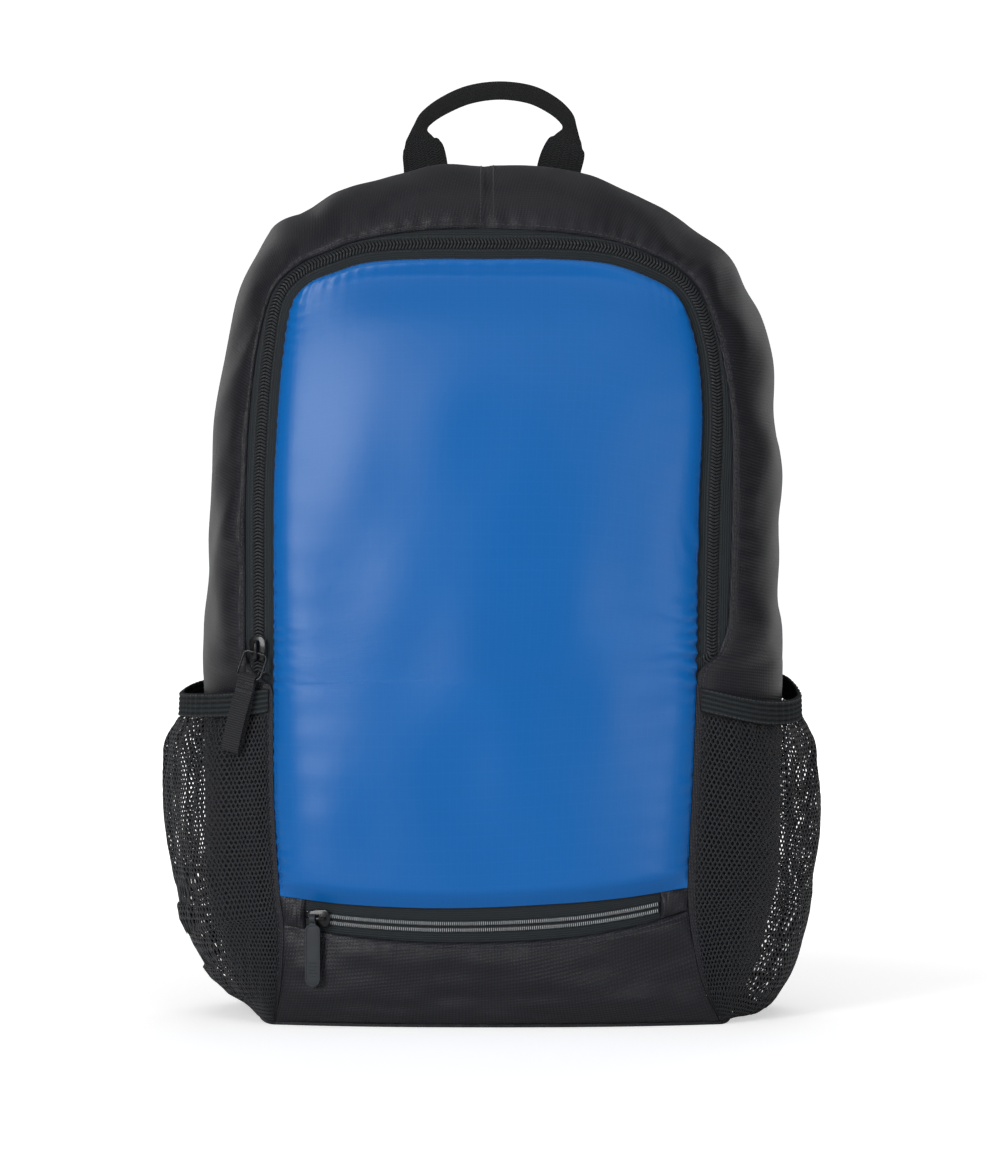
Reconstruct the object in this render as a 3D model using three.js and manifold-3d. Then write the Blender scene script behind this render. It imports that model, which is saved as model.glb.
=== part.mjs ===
// A packable daypack, standing filled out on its base. Millimetres, +Z up, the front faces -Y, +X is to the
// right of somebody looking at the front. The origin is the centre of the base's underside.
import * as THREE from "three";
import { mergeVertices } from "three/addons/utils/BufferGeometryUtils.js";
import Module from "manifold-3d";

const wasm = await Module();
wasm.setup();

// Bag body
const bagHeight = 443; // base to the highest point of the top band
const bagHalfWidth = 150;
const bagHalfDepth = 70; // base centre to the back panel, and nearly to the front seam
const clothWall = 1.5;
const seamGap = 0.3; // between any two pieces that are sewn or lie together
const frontCrown = 13; // how far the middle of the front stands ahead of its side edges
const frontHalfWidth = 110; // where the crown has run out
const crownPower = 2.4;
const gussetReach = 40; // a full reach of the side band, seen from the front
const gussetWidest = 0.55; // share of the depth at which the side band is widest
const backInset = 9; // how far the side band turns in at the back seam
const baseWall = 1.5;
const baseTuck = 60; // height over which the side band turns level to meet the base
const footLevel = baseWall + seamGap;

// Main zip, which runs up one side of the front, over and down the other
const zipBand = 16;
const tapeWall = 0.9;
const tapeLap = 2.4; // how far a tape runs on behind the cloth beside it
const tapeDrop = clothWall + 0.4; // a tape's face behind the cloth's face
const chainOffset = 7.4; // middle of the teeth from the panel's edge
const chainHalfWidth = 2.8;
const chainRise = 1.5;
const teethClear = 0.9; // end of a row of teeth from the cloth beside it
const tapeEndLeft = 168;
const tapeEndRight = 175;
const teethEndLeft = 181;
const teethEndRight = 189;

// Front pocket
const panelSeamHeight = 66; // the blue panel's lower seam, before its sag
const seamSag = 10;
const zipRowHeight = 16;
const pocketChainDrop = 8.8; // middle of the teeth below the blue panel's seam
const pocketZipLeft = -97;
const pocketZipRight = 86;

// Zip sliders and pulls
const sliderLength = 12.5;
const sliderWidth = 9;
const sliderPlate = 2.4;
const bailBar = 1.5;
const bailSpan = 10.6;
const bailShift = 0.9; // the bail stands this much nearer to the slider's lower end
const bailRise = 3.4; // slider plate to the bar's axis
const bailWidth = 1.8;
const bailCorner = 0.7;
const sliderHeight = 195;
const pocketSliderX = -89.4;
const pullLength = 35; // hinge axis to the tip
const pullWidth = 8;
const pullWall = 1.7;
const pullEyeRadius = 2.4;
const pullEyeWidth = 3.2;
const pullClearance = 0.35;
const ringWire = 1.4;
const ringHalfWidth = 6.4;
const ringHeight = 13;
const ringLean = 0.32; // how far the ring's lower side stands out, as a share of its height
const loopWidth = 9.5;
const loopWall = 1.1;
const loopLength = 39;
const loopLean = 14; // degrees towards the side of the bag
const loopSwell = 1.9; // half of the widest gap in the loop

// Side pockets
const meshWall = 1;
const meshMouth = 158; // top of the mesh
const bandHeight = 12.5;
const bandWall = 1.8;
const pocketBulge = 23;
const bulgePower = 1.5; // the pocket lies close to the bag near its two side seams
const pocketStart = 0.02; // share of the way round at which the pocket's front edge is sewn
const pocketStop = 0.97;

// Grab handle
const handleSpan = 71; // between the two legs
const handleTop = 487;
const handleFoot = 412;
const handleShift = 3.4; // the arch hangs over to one side by this much
const webWidth = 24;
const webWall = 1.6;
const handleFold = 3.4; // thickness where the webbing is folded along its length
const handleSet = 1.2; // the folded part leans this far over the bag

// Shoulder straps
const strapWidth = 56;
const strapPad = 6;
const strapBow = 34;
const strapTop = 404;
const strapEnd = 208;
const strapWebWidth = 20;
const strapWebWall = 1.4;
const lockWidth = 27;
const lockHeight = 27;
const lockWall = 3.4;
const lockBar = 3.6;
const lockTop = 197; // top edge of the ladder lock
const lockStand = 9; // the lock's inner face off the back panel
const tailLength = 96;
const anchorX = 100; // where the lower webbing is sewn, from the middle
const anchorZ = 34;
const anchorSide = 46;
const anchorWall = 1.8;

const colours = {
  twill: [0x232328, 0.72, 0],
  blue: [0x1a5fb4, 0.38, 0],
  tape: [0x1c2022, 0.85, 0],
  teeth: [0x15171a, 0.45, 0],
  stripe: [0x9a9c9e, 0.6, 0],
  mesh: [0x15171b, 0.8, 0],
  elastic: [0x202629, 0.9, 0],
  webbing: [0x17191c, 0.9, 0],
  metal: [0x1a1b1e, 0.3, 0.8],
  rubber: [0x30343a, 0.55, 0],
  plastic: [0x1b1c1f, 0.45, 0],
};

// The seam round the front face, a row for each station from the left foot, over the top, to the right foot.
// x and z are shares of the half width and the height. band is a share of zipBand, the strip that the zip
// takes outside the seam, and reach is a share of gussetReach, how far the side band stands out there.
const seamStations = [
  { x: -0.751, z: 0, band: 0, reach: 0.26 },
  { x: -0.729, z: 0.048, band: 0, reach: 0.7 },
  { x: -0.719, z: 0.113, band: 0, reach: 0.97 },
  { x: -0.733, z: 0.154, band: 0, reach: 1.01 },
  { x: -0.752, z: 0.264, band: 0, reach: 0.96 },
  { x: -0.754, z: 0.381, band: 0, reach: 0.95 },
  { x: -0.754, z: 0.4, band: 0.3, reach: 0.95 },
  { x: -0.754, z: 0.417, band: 0.78, reach: 0.94 },
  { x: -0.753, z: 0.445, band: 0.9, reach: 0.93 },
  { x: -0.753, z: 0.497, band: 0.9, reach: 0.91 },
  { x: -0.753, z: 0.612, band: 0.9, reach: 0.885 },
  { x: -0.741, z: 0.705, band: 0.9, reach: 0.83 },
  { x: -0.724, z: 0.774, band: 0.85, reach: 0.76 },
  { x: -0.694, z: 0.836, band: 0.72, reach: 0.73 },
  { x: -0.629, z: 0.862, band: 0.69, reach: 0.84 },
  { x: -0.543, z: 0.875, band: 0.69, reach: 0.91 },
  { x: -0.424, z: 0.887, band: 0.74, reach: 1.02 },
  { x: -0.235, z: 0.891, band: 0.9, reach: 1.155 },
  { x: -0.022, z: 0.891, band: 0.96, reach: 1.21 },
  { x: 0.194, z: 0.891, band: 0.86, reach: 1.17 },
  { x: 0.383, z: 0.886, band: 0.74, reach: 0.97 },
  { x: 0.52, z: 0.871, band: 0.69, reach: 0.88 },
  { x: 0.612, z: 0.853, band: 0.69, reach: 0.86 },
  { x: 0.667, z: 0.824, band: 0.7, reach: 0.87 },
  { x: 0.704, z: 0.774, band: 0.77, reach: 0.965 },
  { x: 0.717, z: 0.705, band: 0.92, reach: 0.99 },
  { x: 0.706, z: 0.612, band: 1.04, reach: 1.11 },
  { x: 0.699, z: 0.497, band: 1.02, reach: 1.13 },
  { x: 0.698, z: 0.462, band: 0.95, reach: 1.15 },
  { x: 0.697, z: 0.434, band: 0.72, reach: 1.16 },
  { x: 0.696, z: 0.419, band: 0.25, reach: 1.16 },
  { x: 0.695, z: 0.394, band: 0, reach: 1.17 },
  { x: 0.683, z: 0.288, band: 0, reach: 1.2 },
  { x: 0.667, z: 0.166, band: 0, reach: 1.23 },
  { x: 0.676, z: 0.113, band: 0, reach: 1.13 },
  { x: 0.716, z: 0.048, band: 0, reach: 0.75 },
  { x: 0.779, z: 0, band: 0, reach: 0.2 },
];
const topStation = 18;
const leftCorner = 13.6; // stations at which the blue panel's side turns into its top
const rightCorner = 22.6;

// The front's side view: y is a share of the half depth, forwards.
const frontProfile = [
  { at: 0, y: 0.84 },
  { at: 0.04, y: 0.94 },
  { at: 0.12, y: 1.01 },
  { at: 0.27, y: 1.03 },
  { at: 0.56, y: 1.0 },
  { at: 0.72, y: 0.91 },
  { at: 0.84, y: 0.75 },
  { at: 0.91, y: 0.62 },
  { at: 1.0, y: 0.42 },
];

// The blue panel's lower seam: at is a share of the half width, rise a share of seamSag, and row how much of
// zipRowHeight the pocket's zip takes below it.
const pocketSeam = [
  { at: -0.75, rise: 0.2, row: 0.9 },
  { at: -0.49, rise: -0.2, row: 1.0 },
  { at: -0.15, rise: -0.34, row: 1.1 },
  { at: 0.23, rise: -0.11, row: 1.12 },
  { at: 0.47, rise: 0.2, row: 0.95 },
  { at: 0.7, rise: 0.72, row: 0.7 },
];

// How far a side pocket stands off the bag, by height: a share of pocketBulge on the left and on the right.
const pocketSwell = [
  { at: 0, left: 0.02, right: 0.04 },
  { at: 0.05, left: 0.12, right: 0.56 },
  { at: 0.14, left: 0.48, right: 0.8 },
  { at: 0.28, left: 0.57, right: 0.83 },
  { at: 0.45, left: 0.6, right: 0.73 },
  { at: 0.65, left: 0.86, right: 0.86 },
  { at: 0.85, left: 0.88, right: 0.74 },
  { at: 0.93, left: 0.8, right: 0.68 },
  { at: 1.0, left: 0.49, right: 0.36 },
];

// Height of a pocket's rim round the bag, front to back, in shares of the band's height.
const rimSag = {
  left: [
    { at: 0, rise: 0.3 },
    { at: 0.25, rise: 0 },
    { at: 0.5, rise: -0.23 },
    { at: 0.75, rise: -0.05 },
    { at: 1, rise: 0.1 },
  ],
  right: [
    { at: 0, rise: 0.37 },
    { at: 0.25, rise: -0.2 },
    { at: 0.5, rise: -0.15 },
    { at: 0.75, rise: 0.35 },
    { at: 1, rise: 0.5 },
  ],
};

// The handle from one foot to the middle: out is a share of its half span, shift a share of handleShift, up a
// share of its height, and wide and thick are shares of the flat width and of the folded thickness.
const handleSections = [
  { out: 0.99, shift: -0.25, up: 0, wide: 0.98, thick: 0.47 },
  { out: 0.99, shift: -0.25, up: 0.2, wide: 0.98, thick: 0.47 },
  { out: 0.99, shift: -0.2, up: 0.37, wide: 0.98, thick: 0.47 },
  { out: 1.04, shift: 0, up: 0.49, wide: 0.95, thick: 0.48 },
  { out: 1.07, shift: 0, up: 0.55, wide: 0.85, thick: 0.55 },
  { out: 1.1, shift: 0.05, up: 0.6, wide: 0.62, thick: 0.72 },
  { out: 1.11, shift: 0.22, up: 0.675, wide: 0.34, thick: 0.95 },
  { out: 1.03, shift: 0.45, up: 0.75, wide: 0.36, thick: 1 },
  { out: 0.8, shift: 0.75, up: 0.835, wide: 0.4, thick: 1 },
  { out: 0.45, shift: 1, up: 0.91, wide: 0.42, thick: 1 },
  { out: 0, shift: 1, up: 0.938, wide: 0.42, thick: 1 },
];

// A shoulder strap from its top end to its lower end: along is the share of its height, x the middle line as a
// share of the half width, bow how far it stands off the back, and wide its width.
const strapSections = [
  { at: 0, x: 0.3, bow: 0.0, wide: 0.96 },
  { at: 0.1, x: 0.33, bow: 0.02, wide: 0.97 },
  { at: 0.22, x: 0.39, bow: 0.42, wide: 1 },
  { at: 0.38, x: 0.46, bow: 0.88, wide: 1.03 },
  { at: 0.55, x: 0.52, bow: 1, wide: 1.05 },
  { at: 0.72, x: 0.55, bow: 0.82, wide: 1.02 },
  { at: 0.86, x: 0.56, bow: 0.5, wide: 0.9 },
  { at: 0.95, x: 0.56, bow: 0.3, wide: 0.7 },
  { at: 1, x: 0.56, bow: 0.22, wide: 0.5 },
];

const vec = (x, y, z) => new THREE.Vector3(x, y, z);
const mix = (a, b, share) => a + (b - a) * share;
const clamp01 = (v) => Math.min(1, Math.max(0, v));
const ease = (v) => clamp01(v) ** 2 * (3 - 2 * clamp01(v));
const steps = (count) => Array.from({ length: count + 1 }, (_, i) => i / count);

// A smooth value from one column of a table, whose rows are in order of their at column.
function columnAt(rows, column, at) {
  const last = rows.length - 1;
  const x = Math.min(rows[last].at, Math.max(rows[0].at, at));
  let i = 0;
  while (i < last - 1 && x > rows[i + 1].at) i++;
  const slope = (k) => {
    const before = rows[Math.max(0, k - 1)];
    const after = rows[Math.min(last, k + 1)];
    return (after[column] - before[column]) / (after.at - before.at);
  };
  const width = rows[i + 1].at - rows[i].at;
  const s = (x - rows[i].at) / width;
  const rest = 1 - s;
  return (
    rows[i][column] * (1 + 2 * s) * rest * rest +
    rows[i + 1][column] * (3 - 2 * s) * s * s +
    width * s * rest * (slope(i) * rest - slope(i + 1) * s)
  );
}

// A closed body from its corners and its triangles, with its faces turned outwards.
function solid(corners, triangles) {
  let volume = 0;
  for (const [a, b, c] of triangles) {
    volume += corners[a].dot(vec().crossVectors(corners[b], corners[c]));
  }
  const index = volume < 0 ? triangles.map(([a, b, c]) => [a, c, b]) : triangles;
  const geometry = new THREE.BufferGeometry().setFromPoints(corners);
  geometry.setIndex(index.flat());
  return geometry;
}

// The triangles of a grid of corners, row by row.
function gridFaces(rows, columns, first = 0) {
  const faces = [];
  for (let i = 0; i < rows - 1; i++) {
    for (let j = 0; j < columns - 1; j++) {
      const a = first + i * columns + j;
      const b = a + columns;
      faces.push([a, b, b + 1], [a, b + 1, a + 1]);
    }
  }
  return faces;
}

// A wall between an outer and an inner grid of points of the same size.
function wall(outer, inner) {
  const rows = outer.length;
  const columns = outer[0].length;
  const count = rows * columns;
  const faces = gridFaces(rows, columns);
  for (const [a, b, c] of gridFaces(rows, columns, count)) faces.push([a, c, b]);
  const rim = [];
  for (let j = 0; j < columns - 1; j++) rim.push(j);
  for (let i = 0; i < rows - 1; i++) rim.push(i * columns + columns - 1);
  for (let j = columns - 1; j > 0; j--) rim.push((rows - 1) * columns + j);
  for (let i = rows - 1; i > 0; i--) rim.push(i * columns);
  rim.forEach((a, k) => {
    const b = rim[(k + 1) % rim.length];
    faces.push([a, b, b + count], [a, b + count, a + count]);
  });
  return solid([...outer.flat(), ...inner.flat()], faces);
}

// A body lofted through loops of points, closed at its ends by flat convex caps, or joined end to end.
function loft(loops, joined = false) {
  const n = loops[0].length;
  const faces = [];
  const turns = joined ? loops.length : loops.length - 1;
  for (let i = 0; i < turns; i++) {
    const next = (i + 1) % loops.length;
    for (let j = 0; j < n; j++) {
      const k = (j + 1) % n;
      faces.push([i * n + j, next * n + j, next * n + k]);
      faces.push([i * n + j, next * n + k, i * n + k]);
    }
  }
  if (!joined) {
    const end = (loops.length - 1) * n;
    for (let j = 1; j < n - 1; j++) faces.push([0, j, j + 1], [end, end + j + 1, end + j]);
  }
  return solid(loops.flat(), faces);
}

// Unit normals of a grid of points, on the side that the hint points to.
function normalsOf(grid, hint) {
  const rows = grid.length;
  const columns = grid[0].length;
  return grid.map((row, i) =>
    row.map((point, j) => {
      const down = grid[Math.max(0, i - 1)][j];
      const up = grid[Math.min(rows - 1, i + 1)][j];
      const left = row[Math.max(0, j - 1)];
      const right = row[Math.min(columns - 1, j + 1)];
      const across = vec().subVectors(right, left);
      const normal = vec().subVectors(up, down).cross(across).normalize();
      return normal.dot(hint(point)) < 0 ? normal.negate() : normal;
    }),
  );
}

const offsetGrid = (grid, normals, distance) =>
  grid.map((row, i) => row.map((p, j) => p.clone().addScaledVector(normals[i][j], distance)));

// A geometry as a closed manifold, for a boolean.
function manifold(geometry) {
  const bare = geometry.clone();
  bare.deleteAttribute("normal");
  bare.deleteAttribute("uv");
  const merged = mergeVertices(bare, 1e-4);
  return new wasm.Manifold(
    new wasm.Mesh({
      numProp: 3,
      vertProperties: new Float32Array(merged.attributes.position.array),
      triVerts: new Uint32Array(merged.index.array),
    }),
  );
}

function geometryOf(made) {
  const mesh = made.getMesh();
  const geometry = new THREE.BufferGeometry();
  geometry.setAttribute("position", new THREE.BufferAttribute(mesh.vertProperties, 3));
  geometry.setIndex(new THREE.BufferAttribute(mesh.triVerts, 1));
  return geometry;
}

// A flat plate: points in its own plane, pulled out along its third axis and centred on it.
function plate(points, thickness, holes = []) {
  const shape = new THREE.Shape(points);
  shape.holes = holes.map((hole) => new THREE.Path(hole));
  const geometry = new THREE.ExtrudeGeometry(shape, { depth: thickness, bevelEnabled: false, curveSegments: 6 });
  return geometry.translate(0, 0, -thickness / 2);
}

// Points of a rectangle with round corners, anticlockwise.
function roundedRectangle(width, height, radius, segments = 3) {
  const points = [];
  const corners = [
    [1, 1, 0],
    [-1, 1, 1],
    [-1, -1, 2],
    [1, -1, 3],
  ];
  for (const [sx, sy, quarter] of corners) {
    for (const s of steps(segments)) {
      const angle = ((quarter + s) * Math.PI) / 2;
      points.push(
        new THREE.Vector2(
          sx * (width / 2 - radius) + radius * Math.cos(angle),
          sy * (height / 2 - radius) + radius * Math.sin(angle),
        ),
      );
    }
  }
  return points;
}

// The seam round the front, as smooth curves through its stations.
const seamHeight = (share) => mix(footLevel, bagHeight, share);
const seamLine = new THREE.CatmullRomCurve3(
  seamStations.map((s) => vec(s.x * bagHalfWidth, 0, seamHeight(s.z))),
  false,
  "catmullrom",
  0.5,
);
const seamSizes = new THREE.CatmullRomCurve3(
  seamStations.map((s) => vec(s.band * zipBand, s.reach * gussetReach, 0)),
  false,
  "catmullrom",
  0.5,
);
const lastStation = seamStations.length - 1;

function frontY(x, z) {
  const profile = bagHalfDepth * columnAt(frontProfile, "y", z / bagHeight);
  return -profile - frontCrown * (1 - Math.abs(x / frontHalfWidth) ** crownPower);
}

// A point on the front's surface, moved back from it by a depth, and the surface's own direction there.
const onFront = (x, z, depth = 0) => vec(x, frontY(x, z) + depth, z);
function frontNormal(x, z) {
  const step = 0.5;
  const dx = (frontY(x + step, z) - frontY(x - step, z)) / (2 * step);
  const dz = (frontY(x, z + step) - frontY(x, z - step)) / (2 * step);
  return vec(dx, -1, dz).normalize();
}

// The place, the outward direction and the widths at a station, which may lie between two rows.
function seamAt(station) {
  const share = station / lastStation;
  const place = seamLine.getPoint(share);
  const way = seamLine.getTangent(share);
  const out = vec(-way.z, 0, way.x);
  out.z *= ease((place.z - footLevel) / baseTuck);
  out.normalize();
  const sizes = seamSizes.getPoint(share);
  return { place, out, band: Math.max(0, sizes.x), reach: sizes.y };
}

// The station on one side at which the seam passes a height.
function stationAt(height, side) {
  let low = side === "left" ? 0 : lastStation;
  let high = topStation;
  for (let i = 0; i < 40; i++) {
    const middle = (low + high) / 2;
    if (seamAt(middle).place.z < height) low = middle;
    else high = middle;
  }
  return (low + high) / 2;
}

// A point of the side band: at 0 it meets the front, at 1 the back, and in between it stands out.
function bandPoint(station, share) {
  const { place, out, band, reach } = seamAt(station);
  const edge = place.clone().addScaledVector(out, band);
  const front = frontY(edge.x, edge.z);
  const widest = mix(front, bagHalfDepth, gussetWidest);
  const ahead = share <= 0.5;
  const angle = (ahead ? share : share - 0.5) * Math.PI;
  const distance = ahead
    ? mix(band, reach, Math.sin(angle))
    : reach - backInset * (1 - Math.cos(angle));
  const y = ahead
    ? mix(front, widest, 1 - Math.cos(angle))
    : mix(widest, bagHalfDepth, Math.sin(angle));
  const point = place.clone().addScaledVector(out, distance);
  return vec(point.x, y, point.z);
}

const bandShares = [0, 0.1, 0.21, 0.34, 0.5, 0.64, 0.77, 0.9, 1];
const fromMiddle = (point) => vec(point.x, point.y, point.z - bagHeight / 2);

// The stations at which the side band is drawn, from a foot to the middle of the top or on from there.
function bandStations(side) {
  const split = 0.004; // stations on each side of the middle seam
  const from = side === "left" ? 0 : topStation + split;
  const to = side === "left" ? topStation - split : lastStation;
  return steps(44).map((s) => mix(from, to, s));
}

// One half of the side band, from a foot to the middle of the top.
function sideBand(side) {
  const outer = bandStations(side).map((t) => bandShares.map((q) => bandPoint(t, q)));
  const normals = normalsOf(outer, fromMiddle);
  normals.forEach((row, i) => {
    row[0] = frontNormal(outer[i][0].x, outer[i][0].z);
    row[row.length - 1] = vec(0, 1, 0);
  });
  for (const index of [0, normals.length - 1]) {
    if (outer[index][0].z < baseTuck) {
      normals[index].forEach((n) => n.setZ(0).normalize());
    }
  }
  return wall(outer, offsetGrid(outer, normals, -clothWall));
}

// A smooth patch between four border curves, each a function from 0 to 1 to a point of the XZ plane.
function patch(left, right, bottom, top, across, up) {
  const [p00, p10, p01, p11] = [bottom(0), bottom(1), top(0), top(1)];
  return steps(up).map((v) =>
    steps(across).map((u) => {
      const blend = (key) =>
        mix(left(v)[key], right(v)[key], u) +
        mix(bottom(u)[key], top(u)[key], v) -
        mix(mix(p00[key], p10[key], u), mix(p01[key], p11[key], u), v);
      return { x: blend("x"), z: blend("z") };
    }),
  );
}

// A wall that follows the front's surface over a patch, its face set back by a depth.
function frontWall(flat, thickness, depth = 0) {
  const outer = flat.map((row) => row.map((p) => onFront(p.x, p.z, depth)));
  const normals = flat.map((row) => row.map((p) => frontNormal(p.x, p.z)));
  return wall(outer, offsetGrid(outer, normals, -thickness));
}

// The seam with the front panels' side of the gap.
function seamInside(station, inset = seamGap) {
  const { place, out } = seamAt(station);
  return place.clone().addScaledVector(out, -inset);
}

const panelSeamZ = (x) =>
  panelSeamHeight + seamSag * columnAt(pocketSeam, "rise", x / bagHalfWidth);
const rowHeightAt = (x) => zipRowHeight * columnAt(pocketSeam, "row", x / bagHalfWidth);
const pocketTopZ = (x) => panelSeamZ(x) - rowHeightAt(x);
const pocketChainZ = (x) => panelSeamZ(x) - (pocketChainDrop * rowHeightAt(x)) / zipRowHeight;

// The station at which a seam that runs across the front, moved up by a shift, meets the seam on one side.
function crossing(seamZ, side, shift = 0) {
  let station = stationAt(seamZ(0), side);
  for (let i = 0; i < 6; i++) station = stationAt(seamZ(seamAt(station).place.x) + shift, side);
  return station;
}

function across(fromX, toX, seamZ, shift = 0) {
  return (u) => {
    const x = mix(fromX, toX, u);
    return { x, z: seamZ(x) + shift };
  };
}

function bluePanel() {
  const low = crossing(panelSeamZ, "left");
  const lowRight = crossing(panelSeamZ, "right");
  const left = (v) => seamInside(mix(low, leftCorner, v));
  const right = (v) => seamInside(mix(lowRight, rightCorner, v));
  const top = (u) => seamInside(mix(leftCorner, rightCorner, u));
  const bottom = across(left(0).x, right(0).x, panelSeamZ);
  bottomEnds(left, right, bottom);
  return frontWall(patch(left, right, bottom, top, 16, 18), clothWall);
}

// The side borders of a patch start where its lower border does.
function bottomEnds(left, right, bottom) {
  const gap = Math.abs(left(0).z - bottom(0).z) + Math.abs(right(0).z - bottom(1).z);
  if (gap > 1) throw new Error("the panel's borders do not meet");
}

function pocketPanel() {
  const high = crossing(pocketTopZ, "left", -seamGap);
  const highRight = crossing(pocketTopZ, "right", -seamGap);
  const left = (v) => seamInside(mix(0, high, v));
  const right = (v) => seamInside(mix(lastStation, highRight, v));
  const bottom = (u) => ({ x: mix(left(0).x, right(0).x, u), z: footLevel });
  const top = across(left(1).x, right(1).x, pocketTopZ, -seamGap);
  return frontWall(patch(left, right, bottom, top, 18, 6), clothWall);
}

// The short cloth at one end of the front pocket's zip.
function zipEndTab(side) {
  const sideLine = (v) => {
    const low = crossing(pocketTopZ, side);
    const high = crossing(panelSeamZ, side, -seamGap);
    const point = seamInside(mix(low, high, v));
    return { x: point.x, z: point.z };
  };
  const innerX = side === "left" ? pocketZipLeft : pocketZipRight;
  const innerLine = (v) => ({
    x: innerX,
    z: mix(pocketTopZ(innerX), panelSeamZ(innerX) - seamGap, v),
  });
  const left = side === "left" ? sideLine : innerLine;
  const right = side === "left" ? innerLine : sideLine;
  const bottom = across(left(0).x, right(0).x, pocketTopZ);
  const top = across(left(1).x, right(1).x, panelSeamZ, -seamGap);
  return frontWall(patch(left, right, bottom, top, 3, 2), clothWall);
}

// The front pocket's tape, which laps behind the cloth round it.
function pocketTape() {
  const from = pocketZipLeft - tapeLap;
  const to = pocketZipRight + tapeLap;
  const rows = steps(2).map((v) =>
    steps(24).map((u) => {
      const x = mix(from, to, u);
      return { x, z: mix(pocketTopZ(x) - tapeLap, panelSeamZ(x) + tapeLap, v) };
    }),
  );
  return frontWall(rows, tapeWall, tapeDrop);
}

// The section of a row of teeth, from its middle out to its edges: how far across and how high.
const chainSection = [
  { across: -1, rise: 0 },
  { across: 1, rise: 0 },
  { across: 1, rise: 0.55 },
  { across: 0.45, rise: 1 },
  { across: -0.45, rise: 1 },
  { across: -1, rise: 0.55 },
];

function pocketChain() {
  const from = pocketZipLeft + teethClear;
  const to = pocketZipRight - teethClear;
  return loft(
    steps(22).map((u) => {
      const x = mix(from, to, u);
      const z = pocketChainZ(x);
      return chainSection.map((c) =>
        onFront(x, z + c.across * chainHalfWidth, tapeDrop - seamGap - c.rise * chainRise),
      );
    }),
  );
}

// The stations of the long zip: the side bands' own between the zip's two ends.
function zipStations(lowLeft, lowRight) {
  const start = stationAt(lowLeft, "left");
  const stop = stationAt(lowRight, "right");
  const apart = 0.05; // stations
  const all = [...bandStations("left").slice(0, -1), topStation, ...bandStations("right").slice(1)];
  return [start, ...all.filter((t) => t > start + apart && t < stop - apart), stop];
}

// The tape follows the front and then, behind the side band, that band's first turn backwards.
function mainTape() {
  const firstShare = bandShares[1];
  const rows = zipStations(tapeEndLeft, tapeEndRight).map((t) => {
    const { place, out, band } = seamAt(t);
    const row = [-tapeLap, 0, band / 2 + 0.1, band + 0.2].map((distance) => {
      const point = place.clone().addScaledVector(out, distance);
      return onFront(point.x, point.z, tapeDrop);
    });
    const edge = bandPoint(t, 0);
    const turn = bandPoint(t, firstShare).sub(edge);
    const lap = edge.addScaledVector(turn, tapeLap / turn.length());
    row.push(lap.add(vec(0, tapeDrop + seamGap, 0)));
    return row;
  });
  const normals = normalsOf(rows, () => vec(0, -1, 0));
  return wall(rows, offsetGrid(rows, normals, -tapeWall));
}

function chainPlace(station, acrossShare = 0, depth = tapeDrop - seamGap) {
  const { place, out, band } = seamAt(station);
  const middle = Math.min(chainOffset, band - chainHalfWidth - 0.5);
  const point = place.clone().addScaledVector(out, middle + acrossShare * chainHalfWidth);
  return onFront(point.x, point.z, depth);
}

function mainChain() {
  return loft(
    zipStations(teethEndLeft, teethEndRight).map((t) =>
      chainSection.map((c) => chainPlace(t, c.across, tapeDrop - seamGap - c.rise * chainRise)),
    ),
  );
}

// A slider: a waisted plate with a bail on it. Its own Z runs along the teeth and its -Y out of the cloth.
function sliderBody() {
  const half = sliderWidth / 2;
  const outline = [
    [-half * 0.78, -sliderLength / 2],
    [half * 0.78, -sliderLength / 2],
    [half, -sliderLength * 0.1],
    [half, sliderLength * 0.3],
    [half * 0.45, sliderLength / 2],
    [-half * 0.45, sliderLength / 2],
    [-half, sliderLength * 0.3],
    [-half, -sliderLength * 0.1],
  ].map(([x, z]) => new THREE.Vector2(x, z));
  const body = plate(outline, sliderPlate).rotateX(Math.PI / 2).translate(0, -sliderPlate / 2, 0);
  const outer = bailRise + bailBar / 2;
  const arch = (span, rise) => [
    [-span / 2, 0],
    [-span / 2, rise - bailCorner],
    [-span / 2 + bailCorner, rise],
    [span / 2 - bailCorner, rise],
    [span / 2, rise - bailCorner],
    [span / 2, 0],
  ];
  const sunk = 0.4; // the bail's feet go this far into the plate
  const outside = arch(bailSpan, outer + sunk).map(([z, y]) => new THREE.Vector2(y - sunk, z));
  const inside = arch(bailSpan - 2 * bailBar, bailRise - bailBar / 2).map(([z, y]) => new THREE.Vector2(y, z));
  const bail = plate(outside.reverse(), bailWidth, [inside]);
  // The plate's own x runs out of the cloth, its y along the teeth and its z across them.
  const turn = new THREE.Matrix4().makeBasis(vec(0, -1, 0), vec(0, 0, 1), vec(-1, 0, 0));
  bail.applyMatrix4(turn).translate(0, -sliderPlate, -bailShift);
  return geometryOf(manifold(body).add(manifold(bail)));
}

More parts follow.
